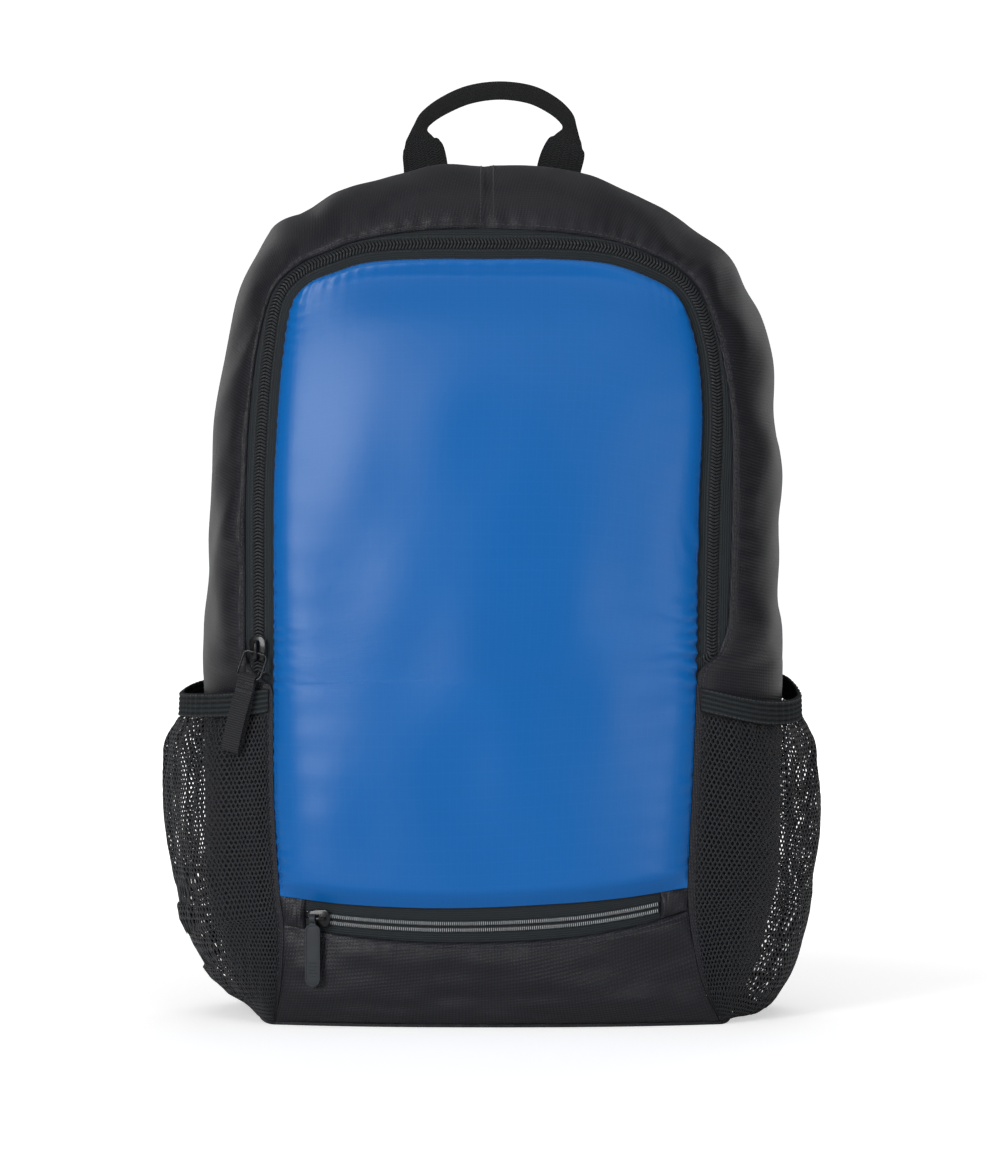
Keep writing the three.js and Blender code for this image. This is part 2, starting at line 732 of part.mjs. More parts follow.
// A round wire or a ribbon swept along a closed or open line of points. Its section has a width along side and
// a thickness across the line and side.
function ribbon(line, side, width, thickness, joined = false, segments = 4) {
  const loops = line.map((point, i) => {
    const before = joined ? line[(i + line.length - 1) % line.length] : line[Math.max(0, i - 1)];
    const after = joined ? line[(i + 1) % line.length] : line[Math.min(line.length - 1, i + 1)];
    const way = vec().subVectors(after, before).normalize();
    const thick = vec().crossVectors(way, side).normalize();
    const wide = vec().crossVectors(thick, way).normalize();
    const size = (v) => (typeof v === "function" ? v(i) : v);
    return Array.from({ length: segments }, (_, k) => {
      const angle = ((k + 0.5) * 2 * Math.PI) / segments;
      const corner = 1 / Math.cos(Math.PI / segments);
      const round = segments > 4 ? 1 : corner;
      return point
        .clone()
        .addScaledVector(wide, (Math.cos(angle) * round * size(width)) / 2)
        .addScaledVector(thick, (Math.sin(angle) * round * size(thickness)) / 2);
    });
  });
  return loft(loops, joined);
}

// The frame in which the main slider and what hangs on it are placed.
const mainSliderStation = stationAt(sliderHeight, "left");
const mainSliderPlace = chainPlace(mainSliderStation, 0, tapeDrop - seamGap - chainRise - seamGap);

// The ring's own origin is the middle of its upper side, where it passes through the bail.
const ringHang = vec(0, -sliderPlate - bailRise + (bailBar + ringWire) / 2 + seamGap, -bailSpan * 0.2);

function mainRing() {
  const corner = 1.8;
  const line = roundedRectangle(2 * ringHalfWidth, ringHeight, corner, 4).map((p) => {
    const down = ringHeight / 2 - p.y;
    return vec(p.x, -ringLean * down, -down);
  });
  return ribbon(line, vec(0, -1, 0), ringWire, ringWire, true, 6);
}

// The webbing loop on the ring, seen from its edge: down is the distance from the ring's lower side and gap the
// half width of the opening, as a share of its swell.
const loopSections = [
  { down: -0.046, gap: 0 },
  { down: -0.02, gap: 0.64 },
  { down: 0.019, gap: 0.72 },
  { down: 0.08, gap: 0.3 },
  { down: 0.17, gap: 0.3 },
  { down: 0.35, gap: 0.75 },
  { down: 0.55, gap: 1 },
  { down: 0.8, gap: 0.95 },
  { down: 0.95, gap: 0.7 },
  { down: 1, gap: 0 },
];

function pullLoop() {
  const at = ({ down, gap }, sign) =>
    vec(0, sign * gap * (loopSwell + loopWall) - ringLean * ringHeight, -ringHeight - down * loopLength);
  const ahead = loopSections.map((row) => at(row, -1));
  const behind = loopSections.slice(1, -1).reverse().map((row) => at(row, 1));
  return ribbon([...ahead, ...behind], vec(1, 0, 0), loopWidth, loopWall, true);
}

// The pull on the front pocket's slider: a flat tab under a round eye. Its hinge is its own X axis.
function pocketPull() {
  const half = pullWidth / 2;
  const tip = [];
  for (const s of steps(6)) {
    const angle = Math.PI * (1 + s);
    tip.push([half * Math.cos(angle), -pullLength + half * (1 + Math.sin(angle))]);
  }
  const shoulder = pullEyeRadius + 1.2;
  const outline = [
    ...tip,
    [half, -shoulder - 1.6],
    [half * 0.7, -shoulder],
    [pullEyeWidth / 2, -shoulder + 0.6],
    [pullEyeWidth / 2, -pullEyeRadius * 0.5],
    [-pullEyeWidth / 2, -pullEyeRadius * 0.5],
    [-pullEyeWidth / 2, -shoulder + 0.6],
    [-half * 0.7, -shoulder],
    [-half, -shoulder - 1.6],
  ].map(([x, z]) => new THREE.Vector2(x, z));
  const tab = plate(outline, pullWall).rotateX(Math.PI / 2);
  const round = (radius, length) =>
    new THREE.CylinderGeometry(radius, radius, length, 16).rotateZ(Math.PI / 2);
  const eye = manifold(round(pullEyeRadius, pullEyeWidth));
  const bore = manifold(round(Math.hypot(bailBar, bailWidth) / 2 + pullClearance, pullEyeWidth * 2));
  return geometryOf(manifold(tab).add(eye).subtract(bore));
}

// The side pockets, which stand off the side band from its front seam to its back seam.
function pocketSurface(side, stand) {
  const mouth = stationAt(meshMouth, side);
  const foot = side === "left" ? 0 : lastStation;
  const columns = steps(12);
  return (rowShares) => {
    const base = rowShares.map((v) =>
      columns.map((s) => {
        const q = mix(pocketStart, pocketStop, s);
        return bandPoint(mix(foot, mouth, v), q);
      }),
    );
    const normals = normalsOf(base, fromMiddle);
    return base.map((row, i) => {
      const height = (seamAt(mix(foot, mouth, rowShares[i])).place.z - footLevel) / (meshMouth - footLevel);
      const swell = pocketBulge * columnAt(pocketSwell, side, height);
      return row.map((point, j) => {
        const belly = Math.sin(Math.PI * columns[j]) ** bulgePower;
        return {
          point,
          normal: normals[i][j],
          stand: stand + swell * belly,
          share: columns[j],
        };
      });
    });
  };
}

const pocketRows = [0, 0.08, 0.18, 0.3, 0.42, 0.54, 0.66, 0.78, 0.9, 1];

function meshPocket(side) {
  const made = pocketSurface(side, seamGap)(pocketRows);
  const rise = (cell, row) => {
    const height = row / (made.length - 1);
    return ease(height * 1.6 - 0.6) * bandHeight * columnAt(rimSag[side], "rise", cell.share);
  };
  const at = (extra) =>
    made.map((row, i) =>
      row.map((cell) => {
        const point = cell.point.clone().addScaledVector(cell.normal, cell.stand + extra);
        point.z = Math.max(footLevel, point.z + rise(cell, i));
        return point;
      }),
    );
  return wall(at(meshWall), at(0));
}

// The elastic round a pocket's mouth, which carries on the mesh's top edge.
function elasticBand(side) {
  const made = pocketSurface(side, seamGap)([0.97, 1]);
  const top = made[1];
  const level = (up, extra) =>
    top.map((cell) => {
      const tuck = 1 - 0.05 * up; // the elastic draws the mouth in a little
      const point = cell.point
        .clone()
        .addScaledVector(cell.normal, (cell.stand - seamGap) * tuck + seamGap + extra);
      const rise = bandHeight * columnAt(rimSag[side], "rise", cell.share);
      point.z += rise + seamGap + up * bandHeight;
      return point;
    });
  const rows = steps(3);
  const outer = rows.map((up) => level(up, bandWall));
  const inner = rows.map((up) => level(up, 0));
  return wall(outer, inner);
}

function basePlate() {
  const outline = [];
  const leftX = seamAt(0).place.x;
  const rightX = seamAt(lastStation).place.x;
  for (const u of steps(10)) {
    const x = mix(leftX, rightX, u);
    outline.push([x, frontY(x, footLevel)]);
  }
  for (const q of steps(8).slice(1)) {
    const p = bandPoint(lastStation, q);
    outline.push([p.x, p.y]);
  }
  for (const q of steps(8).slice(1).reverse()) {
    const p = bandPoint(0, q);
    outline.push([p.x, p.y]);
  }
  const points = outline.map(([x, y]) => new THREE.Vector2(x, y));
  return plate(points, baseWall).translate(0, 0, baseWall / 2);
}

function backPanel() {
  const outline = [...bandStations("left"), ...bandStations("right")].map((station) => {
    const { place, out, reach } = seamAt(station);
    const point = place.clone().addScaledVector(out, reach - backInset - seamGap);
    return new THREE.Vector2(point.x, point.z);
  });
  return plate(outline, clothWall)
    .rotateX(Math.PI / 2)
    .translate(0, bagHalfDepth - clothWall / 2, 0);
}

const backFace = bagHalfDepth + seamGap;

function grabHandle() {
  const half = handleSections.map((row) => ({ ...row, sign: -1 }));
  const rows = [...half, ...half.slice(0, -1).reverse().map((row) => ({ ...row, sign: 1 }))];
  const rise = handleTop - handleFoot;
  const folded = (row) => clamp01((row.thick - 0.47) / 0.53);
  const line = rows.map((row) => {
    const thick = handleFold * row.thick;
    return vec(
      (row.sign * row.out * handleSpan) / 2 + row.shift * handleShift,
      backFace + thick / 2 + folded(row) * handleSet - (folded(row) * handleFold) / 2,
      handleFoot + rise * row.up,
    );
  });
  return ribbon(
    line,
    vec(0, 1, 0),
    (i) => handleFold * rows[i].thick,
    (i) => webWidth * rows[i].wide,
  );
}

// A padded strap, whose section is a flat oval.
function shoulderStrap(side) {
  const sign = side === "left" ? -1 : 1;
  const loops = steps(18).map((s) => {
    const x = sign * bagHalfWidth * columnAt(strapSections, "x", s);
    const y = backFace + strapBow * Math.max(0, columnAt(strapSections, "bow", s)) + strapPad / 2;
    const half = (strapWidth * columnAt(strapSections, "wide", s)) / 2;
    const z = mix(strapTop, strapEnd, s);
    const edge = strapPad * 0.22;
    return [
      vec(x - half, y - edge, z),
      vec(x - half * 0.86, y - strapPad / 2, z),
      vec(x + half * 0.86, y - strapPad / 2, z),
      vec(x + half, y - edge, z),
      vec(x + half, y + edge, z),
      vec(x + half * 0.86, y + strapPad / 2, z),
      vec(x - half * 0.86, y + strapPad / 2, z),
      vec(x - half, y + edge, z),
    ];
  });
  return loft(loops);
}

const strapEndX = bagHalfWidth * strapSections[strapSections.length - 1].x;
const strapEndY = backFace + strapBow * strapSections[strapSections.length - 1].bow + strapPad / 2;
const lockY = backFace + lockStand + lockWall / 2;

// The ladder lock: a frame with two slots. Its own Z runs up the strap and its bars run across it.
function ladderLock(side) {
  const sign = side === "left" ? -1 : 1;
  const slotWidth = strapWebWidth + 1;
  const slotHeight = (lockHeight - 3 * lockBar) / 2;
  const slot = (middle) =>
    roundedRectangle(slotWidth, slotHeight, 1, 2).map((p) => new THREE.Vector2(p.x, p.y + middle));
  const shift = (slotHeight + lockBar) / 2;
  const outline = roundedRectangle(lockWidth, lockHeight, 2.4, 3);
  const frame = plate(outline, lockWall, [slot(shift), slot(-shift)]);
  return frame.rotateX(Math.PI / 2).translate(sign * strapEndX, lockY, lockTop - lockHeight / 2);
}

// How webbing goes round a bar of the lock: out is the distance from the bar's middle plane and past the
// distance beyond the bar's far edge.
const webHalf = strapWebWall / 2;
const turnOut = lockWall / 2 + seamGap + webHalf;
const barTurn = [
  { out: turnOut, past: -lockBar },
  { out: turnOut, past: 0 },
  { out: lockWall / 2 + 0.75 * (seamGap + webHalf), past: 0.8 * (seamGap + webHalf) },
  { out: lockWall / 2, past: 1.1 * (seamGap + webHalf) },
];

// The points of a turn from the outer side of the lock, round a bar's edge, to the side by the bag.
function aroundBar(x, edgeZ, up) {
  const outer = barTurn.map((p) => vec(x, lockY + p.out, edgeZ + up * p.past));
  const inner = barTurn.map((p) => vec(x, lockY - p.out, edgeZ + up * p.past));
  return [...outer, ...inner.reverse()];
}

// The short webbing that carries the lock: round its top bar and up both faces of the padded strap.
function strapLoop(side) {
  const x = (side === "left" ? -1 : 1) * strapEndX;
  const sewn = strapPad / 2 + seamGap + webHalf;
  const middleY = (z) => {
    const bow = columnAt(strapSections, "bow", (strapTop - z) / (strapTop - strapEnd));
    return backFace + strapBow * bow + strapPad / 2;
  };
  const alongPad = (face) =>
    [20, 10, 0].map((above) => vec(x, middleY(strapEnd + above) + face * sewn, strapEnd + above));
  const line = [...alongPad(1), ...aroundBar(x, lockTop - lockBar, -1), ...alongPad(-1).reverse()];
  return ribbon(line, vec(1, 0, 0), strapWebWidth, strapWebWall);
}

// The lower webbing: from its anchor up behind the lock, over the middle bar and down again as a tail.
function strapWebbing(side) {
  const sign = side === "left" ? -1 : 1;
  const x = sign * strapEndX;
  const footX = sign * anchorX;
  const lockFoot = lockTop - lockHeight;
  const barTop = lockTop - lockHeight / 2 + lockBar / 2;
  const sewnY = backFace + anchorWall + seamGap + webHalf;
  const climb = (share) =>
    vec(
      mix(footX, x, share),
      mix(sewnY, lockY - turnOut, ease(share)),
      mix(anchorZ + 0.304 * anchorSide, lockFoot, share),
    );
  const tail = [0, 0.35, 0.7, 1].map((share) =>
    vec(
      x - sign * 2 * share,
      lockY + turnOut + 0.2 + 2 * Math.sin(share * 3) - 2.5 * share,
      lockFoot - tailLength * share,
    ),
  );
  const line = [
    vec(footX, sewnY, anchorZ - 0.087 * anchorSide),
    climb(0),
    climb(0.3),
    climb(0.65),
    climb(1),
    ...aroundBar(x, barTop, 1).reverse(),
    ...tail,
  ];
  return ribbon(line, vec(1, 0, 0), strapWebWidth, strapWebWall);
}

// The cloth triangle that takes the lower webbing into the corner of the bag. Its corners lie round the end of
// the webbing: across is outwards and up is upwards, in shares of its side.
const anchorOutline = [
  { across: 0.304, up: -0.478 },
  { across: 0.304, up: 0.522 },
  { across: -0.261, up: 0.261 },
  { across: -0.304, up: -0.174 },
];

function strapAnchor(side) {
  const sign = side === "left" ? -1 : 1;
  const outline = anchorOutline.map(
    (p) => new THREE.Vector2(sign * (anchorX + p.across * anchorSide), anchorZ + p.up * anchorSide),
  );
  return plate(outline, anchorWall)
    .rotateX(Math.PI / 2)
    .translate(0, backFace + anchorWall / 2, 0);
}

const bag = new THREE.Group();
bag.name = "packable_backpack";

function material(name) {
  const [color, roughness, metalness] = colours[name];
  return new THREE.MeshStandardMaterial({ color, roughness, metalness });
}

function addPiece(name, geometry, finish, group = bag) {
  const mesh = new THREE.Mesh(geometry, material(finish));
  mesh.name = name;
  group.add(mesh);
  return mesh;
}

addPiece("base_panel", basePlate(), "twill");
addPiece("back_panel", backPanel(), "twill");
addPiece("front_panel", bluePanel(), "blue");
addPiece("front_pocket", pocketPanel(), "twill");
addPiece("main_zip_tape", mainTape(), "tape");
addPiece("main_zip_teeth", mainChain(), "teeth");
addPiece("pocket_zip_tape", pocketTape(), "tape");
addPiece("pocket_zip_teeth", pocketChain(), "stripe");
addPiece("grab_handle", grabHandle(), "webbing");
for (const side of ["left", "right"]) {
  addPiece(`side_band_${side}`, sideBand(side), "twill");
  addPiece(`zip_end_tab_${side}`, zipEndTab(side), "twill");
  addPiece(`mesh_pocket_${side}`, meshPocket(side), "mesh");
  addPiece(`pocket_elastic_${side}`, elasticBand(side), "elastic");
  addPiece(`shoulder_strap_${side}`, shoulderStrap(side), "twill");
  addPiece(`strap_loop_${side}`, strapLoop(side), "webbing");
  addPiece(`ladder_lock_${side}`, ladderLock(side), "plastic");
  addPiece(`strap_webbing_${side}`, strapWebbing(side), "webbing");
  addPiece(`strap_anchor_${side}`, strapAnchor(side), "twill");
}

// A group that stands on the front at a place and is turned about the upright to face as the front does there.
function groupAt(place) {
  const group = new THREE.Group();
  const facing = frontNormal(place.x, place.z);
  group.position.copy(place);
  group.rotation.z = Math.atan2(facing.x, -facing.y);
  bag.add(group);
  return group;
}

// The main slider with its ring and its webbing loop hang together at the left end of the long zip.
const mainPull = groupAt(mainSliderPlace);
addPiece("main_zip_slider", sliderBody(), "metal", mainPull);
for (const hung of [
  addPiece("main_pull_ring", mainRing(), "metal", mainPull),
  addPiece("main_pull_loop", pullLoop(), "webbing", mainPull),
]) {
  hung.position.copy(ringHang);
  hung.rotation.y = THREE.MathUtils.degToRad(loopLean);
}

// The pocket's slider lies on its side at the left end of its zip, and its pull hangs from the bail.
const chainFace = tapeDrop - seamGap - chainRise - seamGap;
const pocketPullGroup = groupAt(onFront(pocketSliderX, pocketChainZ(pocketSliderX), chainFace));
const pocketSlider = addPiece("pocket_zip_slider", sliderBody(), "metal", pocketPullGroup);
pocketSlider.rotation.y = Math.PI / 2;
const pull = addPiece("pocket_pull", pocketPull(), "rubber", pocketPullGroup);
const eyeStop = bailBar - bailSpan / 2 - bailShift + bailCorner; // inside the bail's corner
pull.position.set(eyeStop + pullClearance + pullEyeWidth / 2, -sliderPlate - bailRise, 0);

export default bag;
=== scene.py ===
# %% [markdown]
# # A packable daypack, dressed in cloth
# The bag is made of thin nylon: a blue satin front, black dobby sides that roll back from it, a coil zip
# between the two, mesh pockets at the sides and padded straps behind. The solids of the bag are loaded first and
# stay where they are. Every visible piece is then made again, finer, on the same surfaces and in the same frame.

import math

import bmesh
import bpy
import numpy as np
from mathutils import Matrix, Vector
from mathutils.geometry import delaunay_2d_cdt


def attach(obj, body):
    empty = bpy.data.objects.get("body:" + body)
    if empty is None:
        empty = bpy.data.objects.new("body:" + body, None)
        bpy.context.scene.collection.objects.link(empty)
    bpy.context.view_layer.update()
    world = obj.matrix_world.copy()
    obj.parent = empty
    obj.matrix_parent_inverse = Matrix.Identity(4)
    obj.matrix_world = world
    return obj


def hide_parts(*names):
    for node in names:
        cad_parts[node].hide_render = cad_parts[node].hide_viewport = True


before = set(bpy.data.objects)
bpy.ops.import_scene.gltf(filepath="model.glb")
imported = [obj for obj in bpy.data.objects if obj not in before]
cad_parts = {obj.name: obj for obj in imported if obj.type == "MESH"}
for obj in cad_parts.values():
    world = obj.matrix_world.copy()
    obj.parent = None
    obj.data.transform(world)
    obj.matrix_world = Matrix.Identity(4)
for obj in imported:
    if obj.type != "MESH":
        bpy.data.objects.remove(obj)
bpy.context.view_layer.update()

# %% [markdown]
# ## Camera
# The picture was taken from the front and a little above the bag, from far away with a long lens, so upright
# seams stay upright. A distance of four metres and this focal length give the same outline as the photograph.

# %% Camera
MM = 0.001
IMAGE_HEIGHT, FOCAL_PIXELS = 1175, 7663
aim = Vector((3.4, 0.0, 222.7)) * MM
camera_distance, camera_rise = 4.0, math.radians(3.0)
camera_data = bpy.data.cameras.new("studio_camera")
camera_data.sensor_width = 36.0
camera_data.lens = FOCAL_PIXELS * 36.0 / IMAGE_HEIGHT
camera = bpy.data.objects.new("studio_camera", camera_data)
bpy.context.scene.collection.objects.link(camera)
camera.location = aim + camera_distance * Vector((0, -math.cos(camera_rise), math.sin(camera_rise)))
camera.rotation_euler = (math.pi / 2 - camera_rise, 0, 0)
bpy.context.scene.camera = camera
print("lens", round(camera_data.lens, 1), "mm")

# %% [markdown]
# ## Floor and light
# A white sweep of paper with no edge, which also glows a little, so it stays almost pure white. Satin shows its
# folds only where it mirrors something bright, so two tall soft boxes stand in front, left and right, with a
# wide low one above. A fill that nothing mirrors lifts the middle, the one overhead gives the soft shadow round
# the foot of the bag, and three behind light the back and the sides in the same way.


# %% One node at a time
def add(tree, kind, wires=(), **settings):
    """A new node with its settings; wires are (socket, value) pairs, where a value may be a node or an output."""
    made = tree.nodes.new(kind)
    for name, value in settings.items():
        setattr(made, name, value)
    for key, value in wires:
        if isinstance(value, bpy.types.Node):
            value = next(output for output in value.outputs if output.enabled)
        if isinstance(value, bpy.types.NodeSocket):
            tree.links.new(value, made.inputs[key])
        else:
            made.inputs[key].default_value = value
    return made


# %% Floor and soft boxes
def paper_sweep(name, half_width, front, back, radius, height):
    profile = [(front, 0.0), (back - radius, 0.0)]
    for k in range(1, 13):
        angle = k / 12 * math.pi / 2
        profile.append((back - radius + radius * math.sin(angle), radius * (1 - math.cos(angle))))
    profile.append((back, height))
    points = [(side * half_width, y, z) for y, z in profile for side in (-1, 1)]
    faces = [(2 * k, 2 * k + 1, 2 * k + 3, 2 * k + 2) for k in range(len(profile) - 1)]
    mesh = bpy.data.meshes.new(name)
    mesh.from_pydata(points, [], faces)
    mesh.shade_smooth()
    sweep = bpy.data.objects.new(name, mesh)
    bpy.context.scene.collection.objects.link(sweep)
    return sweep


def soft_box(name, azimuth, rise, distance, width, height, power, mirrored=True):
    light = bpy.data.lights.new(name, "AREA")
    light.shape, light.size, light.size_y, light.energy = "RECTANGLE", width, height, power
    box = bpy.data.objects.new(name, light)
    bpy.context.scene.collection.objects.link(box)
    way = Vector((math.sin(math.radians(azimuth)), -math.cos(math.radians(azimuth)), 0))
    box.location = aim + way * distance * math.cos(math.radians(rise))
    box.location.z += distance * math.sin(math.radians(rise))
    box.rotation_euler = (aim - box.location).to_track_quat("-Z", "Y").to_euler()
    box.visible_glossy = mirrored


def paper_finish(near, far, reach):
    """White paper under lamps of its own: it glows from near at the bag to far at reach metres from it."""
    made = bpy.data.materials.new("white_paper")
    made.use_nodes = True
    tree = made.node_tree
    shader = tree.nodes["Principled BSDF"]
    shader.inputs["Base Color"].default_value = (0.86, 0.86, 0.86, 1)
    shader.inputs["Roughness"].default_value = 0.9
    shader.inputs["Specular IOR Level"].default_value = 0.0
    place = add(tree, "ShaderNodeTexCoord").outputs["Object"]
    away = add(tree, "ShaderNodeVectorMath", [(0, place)], operation="LENGTH").outputs["Value"]
    glow = add(tree, "ShaderNodeMapRange", [("Value", away), ("From Min", 0.3), ("From Max", reach),
                                            ("To Min", near), ("To Max", far)])
    seen = add(tree, "ShaderNodeLightPath").outputs["Is Camera Ray"]
    strength = add(tree, "ShaderNodeMath", [(0, glow.outputs["Result"]), (1, seen)], operation="MULTIPLY")
    shader.inputs["Emission Color"].default_value = (1, 1, 1, 1)
    tree.links.new(strength.outputs["Value"], shader.inputs["Emission Strength"])
    return made


def white_room(seen, shed):
    """A world that looks white and lights the bag more softly than it looks."""
    world = bpy.data.worlds.new("white_room")
    world.use_nodes = True
    tree = world.node_tree
    camera_ray = add(tree, "ShaderNodeLightPath").outputs["Is Camera Ray"]
    strength = add(tree, "ShaderNodeMix", [("Factor", camera_ray), ("A", shed), ("B", seen)])
    tree.links.new(strength.outputs["Result"], tree.nodes["Background"].inputs["Strength"])
    tree.nodes["Background"].inputs["Color"].default_value = (1, 1, 1, 1)
    return world


sweep = paper_sweep("paper_sweep", 3.0, -0.8, 6.5, 1.0, 3.0)
sweep.data.materials.append(paper_finish(0.55, 1.0, 1.0))
# azimuth and rise in degrees, distance, width and height in metres, power in watts, and whether it is mirrored
soft_boxes = {"left": (-28, 14, 2.2, 0.52, 1.25, 20, True),
              "right": (27, 2, 2.2, 0.4, 1.1, 4.6, True),
              "high": (4, 26, 2.2, 1.7, 0.3, 1.8, True),
              "fill": (0, 46, 2.2, 2.0, 1.2, 9, False),
              "overhead": (0, 86, 2.4, 2.4, 2.0, 10, True),
              "rear_left": (-156, 8, 2.4, 0.7, 1.4, 3, True),
              "rear_right": (152, 8, 2.4, 0.7, 1.4, 3, True),
              "rear_fill": (176, 40, 2.4, 1.6, 1.2, 16, False)}
for name, values in soft_boxes.items():
    soft_box("soft_box_" + name, *values)
bpy.context.scene.world = white_room(1.0, 0.07)
bpy.context.scene.view_settings.view_transform = "Standard"

# %% [markdown]
# ## How a finish is written
# Each finish is one material for a real stuff, with the colour as it looks on screen and the pattern at its
# real size. The patterns of cloth follow the cloth, so each woven piece carries a UV map called cloth that is
# simply its flat cut, in metres. One small function adds a node, sets it up and wires what it is given.


# %% Helpers for finishes
MATH, MIX, NOISE = "ShaderNodeMath", "ShaderNodeMix", "ShaderNodeTexNoise"


def screen_colour(code):
    """Linear RGBA from a hex colour as seen on screen."""
    channels = [int(code[k : k + 2], 16) / 255 for k in (1, 3, 5)]
    linear = [c / 12.92 if c <= 0.04045 else ((c + 0.055) / 1.055) ** 2.4 for c in channels]
    return (*linear, 1.0)


def new_finish(name):
    made = bpy.data.materials.new(name)
    made.use_nodes = True
    made.node_tree.nodes.clear()
    return made, made.node_tree


def close_finish(tree, colour, roughness, ior, height, depth_mm, strength, *more):
    """The end of every finish: relief, surface and output; more are further (socket, value) pairs."""
    bump = add(tree, "ShaderNodeBump", [("Height", height), ("Distance", depth_mm * MM), ("Strength", strength)])
    shader = add(tree, "ShaderNodeBsdfPrincipled",
                 [("Base Color", colour), ("Roughness", roughness), ("IOR", ior), ("Normal", bump), *more])
    add(tree, "ShaderNodeOutputMaterial", [("Surface", shader)])


def waves(tree, along, period_mm, phase=0.0):
    """A sine of a length in metres, from -1 to 1."""
    turned = add(tree, MATH, [(0, along), (1, 2 * math.pi / (period_mm * MM)), (2, phase)], operation="MULTIPLY_ADD")
    return add(tree, MATH, [(0, turned)], operation="SINE")


def cut_plane(tree):
    """The place on a piece's flat cut, and its two directions, in metres."""
    uv = add(tree, "ShaderNodeUVMap", uv_map="cloth")
    parts = add(tree, "ShaderNodeSeparateXYZ", [("Vector", uv)])
    return uv, parts.outputs["X"], parts.outputs["Y"]


print("finish helpers ready")

# %% [markdown]
# ## Black dobby nylon
# The black cloth is a coated nylon with a dobby weave: tiny raised dots stand in slanting rows, and each one
# catches the light. Two crossed sine waves, turned by 45 degrees, make such rows of dots on the flat cut. The
# colour is a charcoal, never pure black, and broad blotches keep it from looking printed. The dots are also
# painted paler than the ground, as a painted glint on each one, on top of their relief.


# %% Black dobby nylon
def dobby_nylon():
    made, tree = new_finish("dobby_nylon_black")
    uv, across, along = cut_plane(tree)
    rows = []
    for sense, spacing_mm in (("ADD", 2.7), ("SUBTRACT", 2.1)):
        slant = add(tree, MATH, [(0, across), (1, along)], operation=sense)
        rows.append(waves(tree, slant, spacing_mm * math.sqrt(2)))
    dots = add(tree, MATH, [(0, rows[0]), (1, rows[1])], operation="MULTIPLY")
    above = add(tree, MATH, [(0, dots), (1, 0.0)], operation="MAXIMUM")
    raised = add(tree, MATH, [(0, above), (1, 0.7)], operation="POWER")
    broad = add(tree, NOISE, [("Vector", uv), ("Scale", 1 / (60 * MM)), ("Detail", 3.0)])
    ground = add(tree, MIX, [(0, broad), (6, screen_colour("#15151a")), (7, screen_colour("#1e1e25"))],
                 data_type="RGBA")
    # the raised dots are painted paler than the ground: a painted glint on each dot
    share = add(tree, MATH, [(0, raised), (1, 0.42)], operation="MULTIPLY")
    colour = add(tree, MIX, [(0, share), (6, ground), (7, screen_colour("#3a3a44"))], data_type="RGBA")
    fine = add(tree, NOISE, [("Vector", uv), ("Scale", 1 / (2.6 * MM)), ("Detail", 4.0), ("Roughness", 0.6)])
    height = add(tree, MATH, [(0, fine), (1, 0.5), (2, raised)], operation="MULTIPLY_ADD")
    close_finish(tree, colour, 0.42, 1.44, height, 0.2, 0.8, ("Sheen Weight", 0.05), ("Sheen Roughness", 0.4))
    return made


# coated nylon with a dobby weave: a semi-matt charcoal with rows of glints, from the dots' relief and from the dots
# painted paler
DOBBY = dobby_nylon()
print(DOBBY.name)

# %% [markdown]
# ## Blue satin nylon
# The front is a light ripstop nylon with a satin face. Its floats of yarn mirror a soft light broadly, which
# shows as pale upright bands, and faint stronger yarns cross it every few millimetres. A middling roughness
# with a little sheen gives the soft bands, and a very low relief gives the yarns.


# %% Blue satin nylon
def satin_nylon():
    made, tree = new_finish("satin_nylon_blue")
    uv, across, along = cut_plane(tree)
    broad = add(tree, NOISE, [("Vector", uv), ("Scale", 1 / (90 * MM)), ("Detail", 2.0)])
    ground = add(tree, MIX, [(0, broad), (6, screen_colour("#0867b7")), (7, screen_colour("#0f70c3"))],
                 data_type="RGBA")
    yarns = []
    for way in (across, along):
        above = add(tree, MATH, [(0, waves(tree, way, 3.6)), (1, 0.0)], operation="MAXIMUM")
        yarns.append(add(tree, MATH, [(0, above), (1, 12.0)], operation="POWER"))
    grid = add(tree, MATH, [(0, yarns[0]), (1, yarns[1])], operation="MAXIMUM")
    share = add(tree, MATH, [(0, grid), (1, 0.12)], operation="MULTIPLY")
    colour = add(tree, MIX, [(0, share), (6, ground), (7, screen_colour("#2c7ccf"))], data_type="RGBA")
    weave = add(tree, MATH, [(0, waves(tree, across, 1.1)), (1, waves(tree, along, 1.1))], operation="MULTIPLY")
    crumple = add(tree, NOISE, [("Vector", uv), ("Scale", 1 / (7 * MM)), ("Detail", 4.0), ("Roughness", 0.55)])
    height = add(tree, MATH, [(0, crumple), (1, 0.5)], operation="MULTIPLY")
    for part, depth in ((weave, 0.04), (grid, 0.06)):
        height = add(tree, MATH, [(0, part), (1, depth), (2, height)], operation="MULTIPLY_ADD")
    close_finish(tree, colour, 0.32, 1.5, height, 0.3, 0.45, ("Specular IOR Level", 0.37), ("Sheen Weight", 0.01),
                 ("Sheen Roughness", 0.35), ("Sheen Tint", screen_colour("#9cc4ee")))
    return made


# light ripstop nylon with a satin face: deep blue with broad pale bands where it mirrors the lights
SATIN = satin_nylon()
print(SATIN.name)

# %% [markdown]
# ## Woven tapes
# Zip tape, webbing, elastic and binding are narrow weaves, and each has two sets of ribs. Zip tape has fine ribs
# along its length. Webbing has a herringbone that shows as short slanting ribs. Elastic has its ribs in its
# shape; its finish adds the short upright gathers and paints shade into the grooves between those ribs. All are
# darker and rougher than the cloth.


# %% Ribs of the narrow weaves
def tape_ribs(tree, uv, across, along):
    return waves(tree, across, 1.15), waves(tree, along, 0.8)


